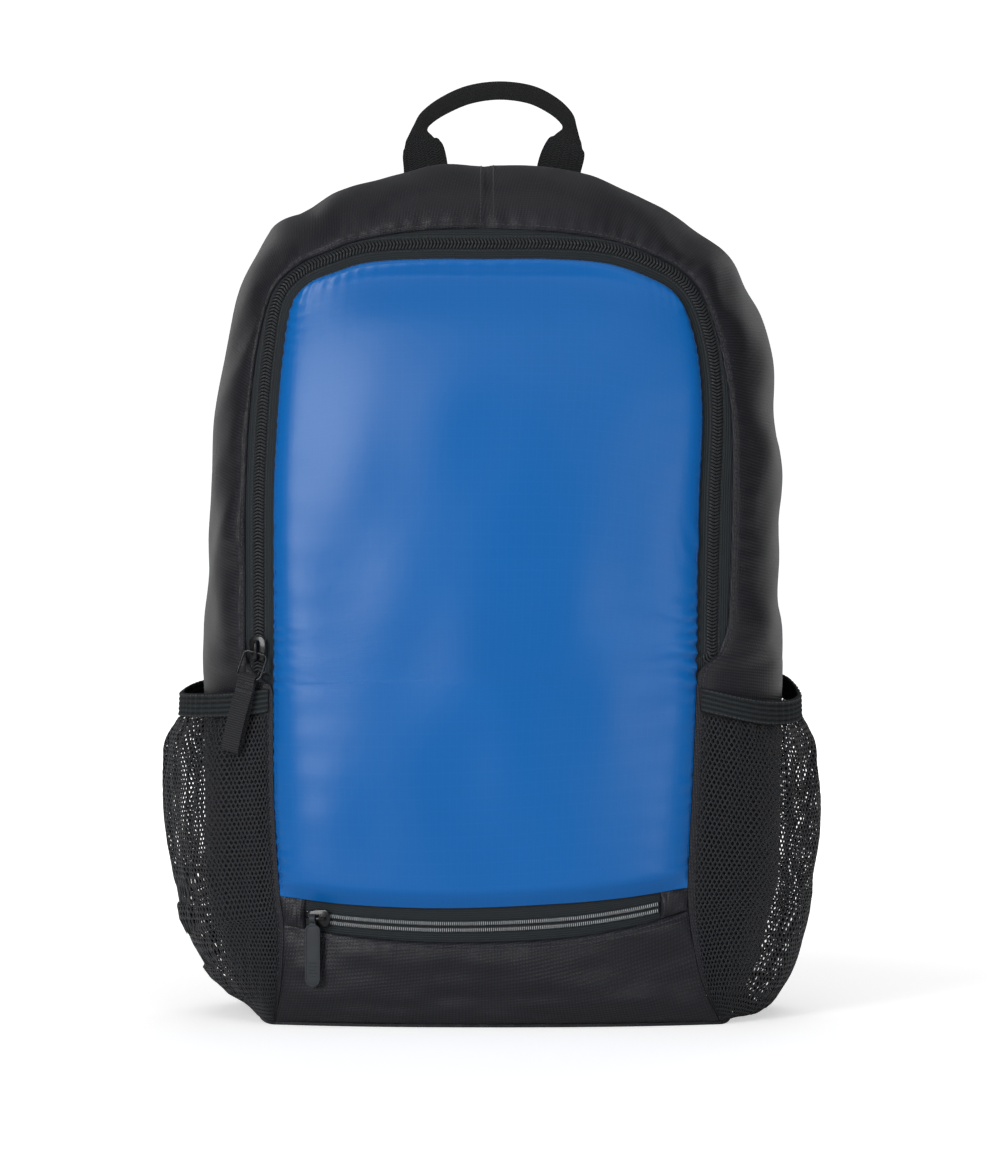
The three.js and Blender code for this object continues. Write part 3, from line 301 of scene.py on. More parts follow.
def webbing_ribs(tree, uv, across, along):
    folded = add(tree, MATH, [(0, across), (1, 2.4 * MM)], operation="PINGPONG")
    slant = add(tree, MATH, [(0, folded), (1, 0.55), (2, along)], operation="MULTIPLY_ADD")
    return waves(tree, slant, 1.3), waves(tree, across, 2.4)


def elastic_ribs(tree, uv, across, along):
    # the troughs of these waves lie in the grooves between the shape's ribs, so the colour darkens there: painted
    # shade
    rib_relief_and_groove_shade = waves(tree, along, 2.5, -math.pi / 2)
    gathers_and_groove_shade = add(tree, MATH, [(0, waves(tree, across, 1.5)), (1, 0.25), (2, rib_relief_and_groove_shade)], operation="MULTIPLY_ADD")
    return gathers_and_groove_shade, add(tree, NOISE, [("Vector", uv), ("Scale", 1 / (1.2 * MM)), ("Detail", 2.0)])


def binding_ribs(tree, uv, across, along):
    return waves(tree, along, 1.2), 0.0


# %% Zip tape, webbing, elastic and binding
def narrow_weave(name, ribs, dark, light, shares, roughness, ior, depth_mm, strength, sheen=0.0):
    """A ribbed finish; shares say how much each set of ribs counts in colour, the ground, and the second's height."""
    made, tree = new_finish(name)
    first, second = ribs(tree, *cut_plane(tree))
    first_share, second_share, ground, second_height = shares
    low = add(tree, MATH, [(0, second), (1, second_share), (2, ground)], operation="MULTIPLY_ADD")
    share = add(tree, MATH, [(0, first), (1, first_share), (2, low)], operation="MULTIPLY_ADD", use_clamp=True)
    colour = add(tree, MIX, [(0, share), (6, screen_colour(dark)), (7, screen_colour(light))], data_type="RGBA")
    height = add(tree, MATH, [(0, second), (1, second_height), (2, first)], operation="MULTIPLY_ADD")
    close_finish(tree, colour, roughness, ior, height, depth_mm, strength, ("Sheen Weight", sheen))
    return made


# woven polyester: matt, with fine lines along the zip
ZIP_TAPE = narrow_weave("polyester_zip_tape", tape_ribs, "#10161a", "#232d31", (0.32, 0.0, 0.45, 0.4),
                        0.75, 1.55, 0.12, 0.7)
# woven nylon: matt black with short slanting ribs
WEBBING = narrow_weave("nylon_webbing", webbing_ribs, "#0c0d0f", "#242629", (0.33, 0.099, 0.42, 0.5),
                       0.78, 1.53, 0.28, 0.9, sheen=0.1)
# knitted elastic: matt, with short upright gathers, and painted shade in the grooves between its ribs
ELASTIC = narrow_weave("knitted_elastic", elastic_ribs, "#0b0e0f", "#2b3337", (0.45, 1.0, 0.0, 1.0),
                       0.82, 1.52, 0.2, 0.7)
# grosgrain: matt, ribbed across
BINDING = narrow_weave("grosgrain_binding", binding_ribs, "#0f1012", "#36373b", (0.35, 0.0, 0.45, 0.0),
                       0.8, 1.53, 0.2, 0.8)
print([m.name for m in (ZIP_TAPE, WEBBING, ELASTIC, BINDING)])

# %% [markdown]
# ## Hard and thread finishes
# The coil of the zip is a smooth nylon wire with a dull gloss. It is painted a mid grey, as painted light on its
# loops, over a nearly black cord, as painted shade between them. The sliders are die-cast zinc under black
# enamel, so they are glossy but not mirrors of bare metal. The little pull is moulded rubber, grey and matt with
# a faint grain, and the buckles are acetal with a low gloss. Thread is rough, and the pocket's zip is sewn with
# a pale grey one. The black thread is painted a little paler than the cloth, as painted glints.


# %% Coil, enamel, rubber, acetal, thread and knit
def plain_finish(name, dark, light, roughness, ior, grain_mm, relief_mm, coat=0.0, sheen=0.0):
    made, tree = new_finish(name)
    place = add(tree, "ShaderNodeTexCoord").outputs["Object"]
    grain = add(tree, NOISE, [("Vector", place), ("Scale", 1 / (grain_mm * MM)), ("Detail", 3.0)])
    colour = add(tree, MIX, [(0, grain), (6, screen_colour(dark)), (7, screen_colour(light))], data_type="RGBA")
    worn = add(tree, NOISE, [("Vector", place), ("Scale", 1 / (grain_mm * 6 * MM)), ("Detail", 2.0)])
    spread = add(tree, MATH, [(0, worn), (1, 0.16), (2, roughness - 0.08)], operation="MULTIPLY_ADD")
    close_finish(tree, colour, spread, ior, grain, relief_mm, 0.6, ("Coat Weight", coat), ("Coat Roughness", 0.06),
                 ("Sheen Weight", sheen))
    return made


# drawn nylon wire: small dull highlights along the coil; the black nylon is painted a mid grey, as painted light on
# the loops
COIL = plain_finish("nylon_coil", "#2a2d31", "#3c4044", 0.3, 1.53, 1.4, 0.03)
# the cord inside the coil, painted nearly black: painted shade in the gaps between the loops
CORD_PAINTED_SHADE = plain_finish("filler_cord_painted_shade", "#060708", "#0d0e0f", 0.85, 1.45, 0.8, 0.02)
# enamelled zinc: glossy black with soft-edged highlights
ENAMEL = plain_finish("black_enamel", "#0b0b0d", "#151518", 0.27, 1.42, 3.0, 0.02, coat=0.25)
# moulded rubber: dark grey, satin, with a faint grain
RUBBER = plain_finish("moulded_rubber", "#22272c", "#2a3036", 0.55, 1.52, 0.9, 0.05)
# moulded acetal: black with a low even gloss
ACETAL = plain_finish("acetal_black", "#16171a", "#1e1f22", 0.4, 1.48, 1.2, 0.03)
# spun polyester threads: rough. The black one is the cloth's own colour but painted a little paler, as painted glints
# on its stitches; the grey and the blue ones are their own colours
THREAD_PAINTED_GLINT = plain_finish("sewing_thread_black", "#232428", "#414248", 0.7, 1.5, 0.8, 0.03, sheen=0.2)
GREY_THREAD = plain_finish("sewing_thread_grey", "#b0b3b5", "#dfe1e2", 0.6, 1.5, 0.8, 0.02, sheen=0.2)
BLUE_THREAD = plain_finish("sewing_thread_blue", "#124e92", "#1c62ae", 0.6, 1.5, 0.8, 0.02, sheen=0.2)
# knitted polyester strands: matt charcoal
KNIT = plain_finish("knitted_mesh", "#111318", "#20232a", 0.68, 1.52, 1.0, 0.05, sheen=0.1)
print([m.name for m in (COIL, CORD_PAINTED_SHADE, ENAMEL, RUBBER, ACETAL, THREAD_PAINTED_GLINT, GREY_THREAD, BLUE_THREAD, KNIT)])

# %% [markdown]
# ## The bag's own surfaces
# The seam round the front is a smooth line through 37 stations, from the left foot over the top to the right
# foot. Everything else hangs on it: the front's crown lies inside it, and the black side band rolls back from
# it. The same sizes and stations are written here again, so that fine cloth lies exactly where the solids are.

# %% Sizes in millimetres
BAG_HEIGHT, HALF_WIDTH, HALF_DEPTH = 443.0, 150.0, 70.0
CLOTH_WALL, SEAM_GAP = 1.5, 0.3
FRONT_CROWN, CROWN_HALF, CROWN_POWER = 13.0, 110.0, 2.4
GUSSET_REACH, GUSSET_WIDEST, BACK_INSET = 40.0, 0.55, 9.0
BASE_WALL, BASE_TUCK = 1.5, 60.0
FOOT_LEVEL = BASE_WALL + SEAM_GAP
ZIP_BAND, TAPE_WALL, TAPE_LAP, TAPE_DROP = 16.0, 0.9, 2.4, CLOTH_WALL + 0.4
CHAIN_OFFSET, CHAIN_HALF, CHAIN_RISE = 7.4, 2.8, 1.5
PANEL_SEAM, SEAM_SAG, ZIP_ROW, POCKET_CHAIN_DROP = 66.0, 10.0, 16.0, 8.8
POCKET_ZIP_LEFT, POCKET_ZIP_RIGHT = -97.0, 86.0
TOP_STATION, LAST_STATION, LEFT_CORNER, RIGHT_CORNER = 18.0, 36.0, 13.6, 22.6

seam_table = {
    "x": [-0.751, -0.729, -0.719, -0.733, -0.752, -0.754, -0.754, -0.754, -0.753, -0.753, -0.753, -0.741, -0.724,
          -0.694, -0.629, -0.543, -0.424, -0.235, -0.022, 0.194, 0.383, 0.52, 0.612, 0.667, 0.704, 0.717, 0.706,
          0.699, 0.698, 0.697, 0.696, 0.695, 0.683, 0.667, 0.676, 0.716, 0.779],
    "z": [0, 0.048, 0.113, 0.154, 0.264, 0.381, 0.4, 0.417, 0.445, 0.497, 0.612, 0.705, 0.774, 0.836, 0.862,
          0.875, 0.887, 0.891, 0.891, 0.891, 0.886, 0.871, 0.853, 0.824, 0.774, 0.705, 0.612, 0.497, 0.462,
          0.434, 0.419, 0.394, 0.288, 0.166, 0.113, 0.048, 0],
    "band": [0, 0, 0, 0, 0, 0, 0.3, 0.78, 0.9, 0.9, 0.9, 0.9, 0.85, 0.72, 0.69, 0.69, 0.74, 0.9, 0.96, 0.86,
             0.74, 0.69, 0.69, 0.7, 0.77, 0.92, 1.04, 1.02, 0.95, 0.72, 0.25, 0, 0, 0, 0, 0, 0],
    "reach": [0.26, 0.7, 0.97, 1.01, 0.96, 0.95, 0.95, 0.94, 0.93, 0.91, 0.885, 0.83, 0.76, 0.73, 0.84, 0.91,
              1.02, 1.155, 1.21, 1.17, 0.97, 0.88, 0.86, 0.87, 0.965, 0.99, 1.11, 1.13, 1.15, 1.16, 1.16, 1.17,
              1.2, 1.23, 1.13, 0.75, 0.2],
}
front_profile = {"at": [0, 0.04, 0.12, 0.27, 0.56, 0.72, 0.84, 0.91, 1.0],
                 "y": [0.84, 0.94, 1.01, 1.03, 1.0, 0.91, 0.75, 0.62, 0.42]}
pocket_seam = {"at": [-0.75, -0.49, -0.15, 0.23, 0.47, 0.7],
               "rise": [0.2, -0.2, -0.34, -0.11, 0.2, 0.72],
               "row": [0.9, 1.0, 1.1, 1.12, 0.95, 0.7]}
print("stations:", len(seam_table["x"]))

# %% [markdown]
# ## Smooth lines through tables
# Two kinds of smooth line are enough. A cubic through a table's rows gives a profile, and a Catmull-Rom line
# gives the seam. Both take whole arrays, so a panel of twenty thousand points is worked out at once.


# %% Smooth lines
def along_table(table, name, at):
    xs, ys = np.array(table["at"], float), np.array(table[name], float)
    slope = np.empty_like(ys)
    slope[1:-1] = (ys[2:] - ys[:-2]) / (xs[2:] - xs[:-2])
    slope[0] = (ys[1] - ys[0]) / (xs[1] - xs[0])
    slope[-1] = (ys[-1] - ys[-2]) / (xs[-1] - xs[-2])
    at = np.clip(at, xs[0], xs[-1])
    i = np.clip(np.searchsorted(xs, at, side="left") - 1, 0, len(xs) - 2)
    width = xs[i + 1] - xs[i]
    s = (at - xs[i]) / width
    r = 1 - s
    return (ys[i] * (1 + 2 * s) * r * r + ys[i + 1] * (3 - 2 * s) * s * s
            + width * s * r * (slope[i] * r - slope[i + 1] * s))


def through(points, t):
    """A Catmull-Rom line through points (n, k) at stations t from 0 to n - 1."""
    t = np.clip(t, 0, len(points) - 1)
    i = np.minimum(t.astype(int), len(points) - 2)
    w = (t - i)[..., None]
    ends = np.vstack([2 * points[0] - points[1], points, 2 * points[-1] - points[-2]])
    x0, x1, x2, x3 = ends[i], ends[i + 1], ends[i + 2], ends[i + 3]
    t0, t1 = 0.5 * (x2 - x0), 0.5 * (x3 - x1)
    return x1 + t0 * w + (-3 * x1 + 3 * x2 - 2 * t0 - t1) * w**2 + (2 * x1 - 2 * x2 + t0 + t1) * w**3


def ease(v):
    v = np.clip(v, 0, 1)
    return v * v * (3 - 2 * v)


def mix(a, b, share):
    return a + (b - a) * share


def unit(v):
    return v / np.maximum(np.linalg.norm(v, axis=-1, keepdims=True), 1e-12)


seam_line = np.column_stack([np.array(seam_table["x"]) * HALF_WIDTH,
                             mix(FOOT_LEVEL, BAG_HEIGHT, np.array(seam_table["z"]))])
seam_sizes = np.column_stack([np.array(seam_table["band"]) * ZIP_BAND,
                              np.array(seam_table["reach"]) * GUSSET_REACH])
print("seam runs", round(float(np.linalg.norm(np.diff(through(seam_line, np.linspace(0, 36, 2000)), axis=0),
                                              axis=1).sum())), "mm")

# %% [markdown]
# ## Front and side surfaces
# The front leans back towards the top and is crowned from side to side. The side band starts where the zip
# ends, swells out to its widest past the middle of the depth, and turns in to the back seam. A point of it is
# named by its station and by its share of the way from front to back.


# %% Front and side surfaces
def front_y(x, z):
    profile = HALF_DEPTH * along_table(front_profile, "y", z / BAG_HEIGHT)
    return -profile - FRONT_CROWN * (1 - np.abs(x / CROWN_HALF) ** CROWN_POWER)


def front_normal(x, z):
    dx = front_y(x + 0.5, z) - front_y(x - 0.5, z)
    dz = front_y(x, z + 0.5) - front_y(x, z - 0.5)
    return unit(np.stack([dx, -np.ones_like(dx), dz], axis=-1))


def on_front(x, z, depth=0.0):
    return np.stack([x, front_y(x, z) + depth, z], axis=-1)


def seam_at(t):
    """Place (x, z), outward direction (x, z), zip band and reach at stations t."""
    t = np.asarray(t, float)
    place = through(seam_line, t)
    step = 1e-4 * LAST_STATION
    way = unit(through(seam_line, t + step) - through(seam_line, t - step))
    out = np.stack([-way[..., 1], way[..., 0] * ease((place[..., 1] - FOOT_LEVEL) / BASE_TUCK)], axis=-1)
    sizes = through(seam_sizes, t)
    return place, unit(out), np.maximum(0, sizes[..., 0]), sizes[..., 1]


def band_point(t, q):
    place, out, band, reach = seam_at(t)
    edge = place + out * band[..., None]
    front = front_y(edge[..., 0], edge[..., 1])
    widest = mix(front, HALF_DEPTH, GUSSET_WIDEST)
    ahead = q <= 0.5
    angle = np.where(ahead, q, q - 0.5) * math.pi
    distance = np.where(ahead, mix(band, reach, np.sin(angle)), reach - BACK_INSET * (1 - np.cos(angle)))
    y = np.where(ahead, mix(front, widest, 1 - np.cos(angle)), mix(widest, HALF_DEPTH, np.sin(angle)))
    point = place + out * distance[..., None]
    return np.stack([point[..., 0], y, point[..., 1]], axis=-1)


def outward(point_at, t, q, centre=(0.0, 0.0, BAG_HEIGHT / 2)):
    """Unit normals of a surface given by two numbers, on the side away from the centre."""
    dt = point_at(t + 0.01, q) - point_at(t - 0.01, q)
    dq = point_at(t, np.clip(q + 0.004, 0, 1)) - point_at(t, np.clip(q - 0.004, 0, 1))
    normal = unit(np.cross(dt, dq))
    away = np.sum(normal * (point_at(t, q) - np.array(centre)), axis=-1, keepdims=True)
    return np.where(away < 0, -normal, normal)


def station_at(height, side):
    low, high = (0.0 if side == "left" else LAST_STATION), TOP_STATION
    for _ in range(40):
        middle = (low + high) / 2
        if seam_at(np.array([middle]))[0][0, 1] < height:
            low = middle
        else:
            high = middle
    return (low + high) / 2


def panel_seam_z(x):
    return PANEL_SEAM + SEAM_SAG * along_table(pocket_seam, "rise", x / HALF_WIDTH)


def zip_row(x):
    return ZIP_ROW * along_table(pocket_seam, "row", x / HALF_WIDTH)


def pocket_top_z(x):
    return panel_seam_z(x) - zip_row(x)


def pocket_chain_z(x):
    return panel_seam_z(x) - POCKET_CHAIN_DROP * zip_row(x) / ZIP_ROW


def seam_inside(t, inset=SEAM_GAP):
    place, out, _, _ = seam_at(t)
    return place - out * inset


def crossing(seam_z, side, shift=0.0):
    station = station_at(float(seam_z(np.array([0.0]))[0]), side)
    for _ in range(6):
        x = seam_at(np.array([station]))[0][0, 0]
        station = station_at(float(seam_z(np.array([x]))[0]) + shift, side)
    return station


print("widest half depth point", band_point(np.array([10.0]), np.array([0.5])).round(1))

# %% [markdown]
# ## Soft unevenness
# No sewn cloth is as even as a formula. A sum of a few slanting waves with fixed random directions gives slow
# dents at a chosen size, and the same sum stretched one way gives puckers that start at a seam and die out.


# %% Soft unevenness
def swell(a, b, size, seed, count=7):
    """Smooth dents about as wide as size, roughly from -1 to 1, over coordinates a and b in mm."""
    chance = np.random.default_rng(seed)
    total = np.zeros(np.broadcast(a, b).shape)
    for _ in range(count):
        angle = chance.uniform(0, math.pi)
        pace = 2 * math.pi / (size * chance.uniform(1.3, 2.6))
        total = total + np.sin((a * math.cos(angle) + b * math.sin(angle)) * pace + chance.uniform(0, 2 * math.pi))
    return total / math.sqrt(count)


def puckers(along, away, pitch, reach, seed, power=1.0):
    """Small ridges across a seam: along it they come every pitch, and away from it they fade within reach."""
    shift = 1.6 * swell(along, along * 0, pitch * 5, seed)
    size = 0.65 + 0.35 * swell(along, along * 0, pitch * 3.1, seed + 1)
    bend = 0.12 * away * swell(along, away, pitch * 4, seed + 2)
    return size * np.sin(2 * math.pi * (along + bend) / pitch + shift) * np.exp(-((away / reach) ** power))


print("dents between", round(float(swell(np.arange(500.0), 0.0, 40, 1).min()), 2), "and",
      round(float(swell(np.arange(500.0), 0.0, 40, 1).max()), 2))

# %% [markdown]
# ## Meshes from grids and sweeps
# Cloth is a grid of points with a wall behind it. The face that shows is fine, and the hidden one behind it
# needs only every few points, which saves half of the triangles. Webbing, wire and rods are sweeps of one
# section along a line. Both helpers write the flat cut into the UV map.


# %% Mesh helpers
def closed_mesh(name, points_mm, faces, flat_mm=None, finish=None, crease=50):
    points = np.asarray(points_mm, float) * MM
    corners = np.array([(face[0], j, k) for face in faces for j, k in zip(face[1:-1], face[2:])])
    a, b, c = (points[corners[:, k]] - points.mean(axis=0) for k in range(3))
    if float(np.sum(a * np.cross(b, c))) < 0:
        faces = [tuple(reversed(face)) for face in faces]
    mesh = bpy.data.meshes.new(name)
    mesh.from_pydata(points.tolist(), [], [tuple(int(i) for i in face) for face in faces])
    if flat_mm is not None:
        flat = np.asarray(flat_mm, float) * MM
        corner = np.empty(len(mesh.loops), dtype=np.int32)
        mesh.loops.foreach_get("vertex_index", corner)
        layer = mesh.uv_layers.new(name="cloth")
        layer.data.foreach_set("uv", flat[corner].astype(np.float32).ravel())
    mesh.shade_smooth()
    mesh.set_sharp_from_angle(angle=math.radians(crease))
    if finish is not None:
        mesh.materials.append(finish)
    return mesh


def put(name, mesh, body, nodes=()):
    """A visible piece that rides on a body, has a material slot and may replace solids."""
    piece = bpy.data.objects.new(name, mesh)
    bpy.context.scene.collection.objects.link(piece)
    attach(piece, body)
    if nodes:
        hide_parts(*nodes)
    return piece


def coarse(count, step):
    picked = list(range(0, count - 1, step))
    return picked + [count - 1]


def cloth_wall(outer, inner, step=4):
    """Points and faces of a closed wall: all of outer, every few points of inner, and a rim between them."""
    rows, columns = outer.shape[:2]
    index = np.arange(rows * columns).reshape(rows, columns)
    faces = [(index[i, j], index[i + 1, j], index[i + 1, j + 1], index[i, j + 1])
             for i in range(rows - 1) for j in range(columns - 1)]
    up, side = coarse(rows, step), coarse(columns, step)
    back = inner[np.ix_(up, side)]
    base = rows * columns
    behind = base + np.arange(len(up) * len(side)).reshape(len(up), len(side))
    faces += [(behind[i, j], behind[i, j + 1], behind[i + 1, j + 1], behind[i + 1, j])
              for i in range(len(up) - 1) for j in range(len(side) - 1)]

    def rim(fine, sparse, at):
        for k in range(len(at) - 1):
            a, b = at[k], at[k + 1]
            for i in range(a, b):
                faces.append((fine[i], fine[i + 1], sparse[k]))
            faces.append((fine[b], sparse[k + 1], sparse[k]))

    rim(index[0, :], behind[0, :], side)
    rim(index[:, -1], behind[:, -1], up)
    rim(index[-1, ::-1], behind[-1, ::-1], [columns - 1 - j for j in reversed(side)])
    rim(index[::-1, 0], behind[::-1, 0], [rows - 1 - i for i in reversed(up)])
    points = np.vstack([outer.reshape(-1, 3), back.reshape(-1, 3)])
    picked = np.concatenate([np.arange(base), index[np.ix_(up, side)].ravel()])
    return points, faces, picked


def sheet_piece(name, outer, normals, flat, wall, finish, body, nodes, step=4, crease=50):
    """A piece of cloth from its face, its normals and its flat cut (rows, columns, 2), all in mm."""
    points, faces, picked = cloth_wall(outer, outer - normals * wall, step)
    mesh = closed_mesh(name, points, faces, flat.reshape(-1, 2)[picked], finish, crease)
    return put(name, mesh, body, nodes)


def rounded_section(wide, thick, radius, corner_steps=3):
    """Points of a rounded rectangle, anticlockwise, as (across, out)."""
    points = []
    for quarter, (sx, sy) in enumerate([(1, 1), (-1, 1), (-1, -1), (1, -1)]):
        for k in range(corner_steps + 1):
            angle = (quarter + k / corner_steps) * math.pi / 2
            points.append((sx * (wide / 2 - radius) + radius * math.cos(angle),
                           sy * (thick / 2 - radius) + radius * math.sin(angle)))
    return np.array(points)


def swept(line, side, sections, joined=False):
    """Points, faces and flat cut of one section (m, 2), or of n of them, carried along a line, across near side."""
    line = np.asarray(line, float)
    sections = np.broadcast_to(sections, (len(line), *np.shape(sections)[-2:]))
    count, around = len(line), sections.shape[1]
    if joined:
        way = unit(np.roll(line, -1, axis=0) - np.roll(line, 1, axis=0))
    else:
        way = unit(np.gradient(line, axis=0))
    side = np.broadcast_to(np.asarray(side, float), line.shape)
    thick = unit(np.cross(way, side))
    wide = unit(np.cross(thick, way))
    points = (line[:, None] + wide[:, None] * sections[:, :, :1] + thick[:, None] * sections[:, :, 1:]).reshape(-1, 3)
    run = np.concatenate([[0], np.cumsum(np.linalg.norm(np.diff(line, axis=0), axis=1))])
    flat = np.stack([sections[:, :, 0], np.broadcast_to(run[:, None], (count, around))], axis=-1).reshape(-1, 2)
    faces = []
    for i in range(count if joined else count - 1):
        n = (i + 1) % count
        for j in range(around):
            k = (j + 1) % around
            faces.append((i * around + j, n * around + j, n * around + k, i * around + k))
    if not joined:
        last = (count - 1) * around
        faces.append(tuple(range(around)))
        faces.append(tuple(last + j for j in reversed(range(around))))
    return points, faces, flat


def rounded_line(points, per_piece=8):
    """A smooth line through a few points (n, 3)."""
    points = np.asarray(points, float)
    return through(points, np.linspace(0, len(points) - 1, (len(points) - 1) * per_piece + 1))


print("mesh helpers ready")

# %% [markdown]
# ## Repeats in Geometry Nodes
# A zip has hundreds of teeth and a seam has hundreds of stitches, all alike. One tree makes them: a short
# arched bar of thread or wire, instanced on points that know the way of the seam and the way out of the cloth.
# The points come from the surfaces above. A fixed seed makes the bars a little uneven, as sewn ones are.


# %% Arched bars on points
def arched_bars_tree():
    tree = bpy.data.node_groups.new("arched_bars", "GeometryNodeTree")
    sockets = tree.interface
    sockets.new_socket("Points", in_out="INPUT", socket_type="NodeSocketGeometry")
    for name, kind in (("Start", "Vector"), ("Middle", "Vector"), ("End", "Vector"), ("Radius", "Float"),
                       ("Sides", "Int"), ("Steps", "Int"), ("Unevenness", "Float"), ("Seed", "Int"),
                       ("Finish", "Material")):
        sockets.new_socket(name, in_out="INPUT", socket_type="NodeSocket" + kind)
    sockets.new_socket("Bars", in_out="OUTPUT", socket_type="NodeSocketGeometry")
    given = add(tree, "NodeGroupInput").outputs
    arch = add(tree, "GeometryNodeCurveQuadraticBezier",
               [("Resolution", given["Steps"]), ("Start", given["Start"]), ("Middle", given["Middle"]),
                ("End", given["End"])])
    ring = add(tree, "GeometryNodeCurvePrimitiveCircle",
               [("Resolution", given["Sides"]), ("Radius", given["Radius"])], mode="RADIUS")
    bar = add(tree, "GeometryNodeCurveToMesh",
              [("Curve", arch.outputs["Curve"]), ("Profile Curve", ring.outputs["Curve"]), ("Fill Caps", True)])
    way = add(tree, "GeometryNodeInputNamedAttribute", [("Name", "way")], data_type="FLOAT_VECTOR")
    up = add(tree, "GeometryNodeInputNamedAttribute", [("Name", "up")], data_type="FLOAT_VECTOR")
    turn = add(tree, "FunctionNodeAxesToRotation",
               [("Primary Axis", up.outputs["Attribute"]), ("Secondary Axis", way.outputs["Attribute"])],
               primary_axis="Z", secondary_axis="Y")
    least = add(tree, MATH, [(0, 1.0), (1, given["Unevenness"])], operation="SUBTRACT")
    most = add(tree, MATH, [(0, 1.0), (1, given["Unevenness"])], operation="ADD")
    size = add(tree, "FunctionNodeRandomValue", [(2, least), (3, most), ("Seed", given["Seed"])],
               data_type="FLOAT")
    placed = add(tree, "GeometryNodeInstanceOnPoints",
                 [("Points", given["Points"]), ("Instance", bar.outputs["Mesh"]),
                  ("Rotation", turn.outputs["Rotation"]), ("Scale", size.outputs[1])])
    real = add(tree, "GeometryNodeRealizeInstances", [("Geometry", placed.outputs["Instances"])])
    done = add(tree, "GeometryNodeSetMaterial",
               [("Geometry", real.outputs["Geometry"]), ("Material", given["Finish"])])
    add(tree, "NodeGroupOutput", [("Bars", done.outputs["Geometry"])])
    return tree


ARCHED_BARS = arched_bars_tree()
print("tree inputs:", [s.name for s in ARCHED_BARS.interface.items_tree if s.in_out == "INPUT"])


# %% Making a plain mesh out of a tree
def baked(name, mesh, tree, values, thickness=None):
    """The plain mesh that a tree makes of a mesh; values are given by the names of the tree's inputs."""
    carrier = bpy.data.objects.new(name + "_carrier", mesh)
    bpy.context.scene.collection.objects.link(carrier)
    modifier = carrier.modifiers.new("nodes", "NODES")
    modifier.node_group = tree
    for socket in tree.interface.items_tree:
        if socket.in_out == "INPUT" and socket.name in values:
            modifier[socket.identifier] = values[socket.name]
    if thickness:
        solid = carrier.modifiers.new("thickness", "SOLIDIFY")
        solid.thickness, solid.offset = thickness, 0.0
    view = bpy.context.evaluated_depsgraph_get()
    view.update()
    made = bpy.data.meshes.new_from_object(carrier.evaluated_get(view))
    made.name = name
    bpy.data.objects.remove(carrier)
    return made


def evenly(points, ups, pitch, first=0.5):
    """Points every pitch along a line (n, 3), with the way of the line and the way out of the cloth there."""
    ups = np.broadcast_to(ups, points.shape)
    run = np.concatenate([[0], np.cumsum(np.linalg.norm(np.diff(points, axis=0), axis=1))])
    at = np.arange(first * pitch, run[-1], pitch)
    pick = lambda values: np.column_stack([np.interp(at, run, values[:, k]) for k in range(3)])
    return pick(points), unit(pick(np.gradient(points, run, axis=0))), unit(pick(ups))


def bar_rows(name, rows, start, middle, end, radius, finish, seed=3, sides=4, steps=3, uneven=0.08,
             body="bag", nodes=()):
    """One piece of arched bars; rows are (points, ways, ups) and the lengths are in mm."""
    places, ways, ups = (np.vstack([row[k] for row in rows]) for k in range(3))
    mesh = bpy.data.meshes.new(name + "_points")
    mesh.from_pydata((places * MM).tolist(), [], [])
    for key, values in (("way", ways), ("up", ups)):
        layer = mesh.attributes.new(key, "FLOAT_VECTOR", "POINT")
        layer.data.foreach_set("vector", values.astype(np.float32).ravel())
    made = baked(name, mesh, ARCHED_BARS,
                 {"Start": [v * MM for v in start], "Middle": [v * MM for v in middle],
                  "End": [v * MM for v in end], "Radius": radius * MM, "Sides": sides, "Steps": steps,
                  "Unevenness": uneven, "Seed": seed, "Finish": finish})
    made.shade_smooth()
    piece = put(name, made, body, nodes)
    print(name, len(places), "bars,", sum(len(p.vertices) - 2 for p in made.polygons), "triangles")
    return piece


def stitches(name, rows, finish, length=2.0, seed=5, thread=0.26):
    """A row of stitches: each thread dips into the cloth at both ends."""
    half = length / 2
    return bar_rows(name, rows, (0, -half, -0.25), (0, 0, 0.55), (0, half, -0.25), thread, finish, seed)


# %% [markdown]
# ## The blue front
# The panel is cut to the outline inside the seam and is a little too big for it, so the stuffing makes it
# stand proud of the zip all round, most of all over the pocket's seam. Pulled thread gathers its edges into
# short puckers, and slow dents run over the middle. All of this moves the same smooth surface along its normal.


# %% The blue front's surface
def patch_of(left, right, bottom, top, u, v):
    u, v = u[..., None], v[..., None]
    zero, one = np.zeros(1), np.ones(1)
    corner = [bottom(zero)[0], bottom(one)[0], top(zero)[0], top(one)[0]]
    return (mix(left(v[..., 0]), right(v[..., 0]), u) + mix(bottom(u[..., 0]), top(u[..., 0]), v)
            - mix(mix(corner[0], corner[1], u), mix(corner[2], corner[3], u), v))


def across_front(from_x, to_x, seam_z, shift=0.0):
    def border(u):
        x = mix(from_x, to_x, u)
        return np.stack([x, seam_z(x) + shift], axis=-1)
    return border


blue_low, blue_low_right = crossing(panel_seam_z, "left"), crossing(panel_seam_z, "right")
BLUE_WIDE, BLUE_TALL, FOLD_UNDER, TOP_DIP = 223.0, 326.0, 8.5, 4.2


def blue_flat(u, v):
    left = lambda v: seam_inside(mix(blue_low, LEFT_CORNER, v))
    right = lambda v: seam_inside(mix(blue_low_right, RIGHT_CORNER, v))
    top = lambda u: seam_inside(mix(LEFT_CORNER, RIGHT_CORNER, u))
    one = np.zeros(1)
    bottom = across_front(left(one)[0, 0], right(one)[0, 0], panel_seam_z)
    return patch_of(left, right, bottom, top, u, v)


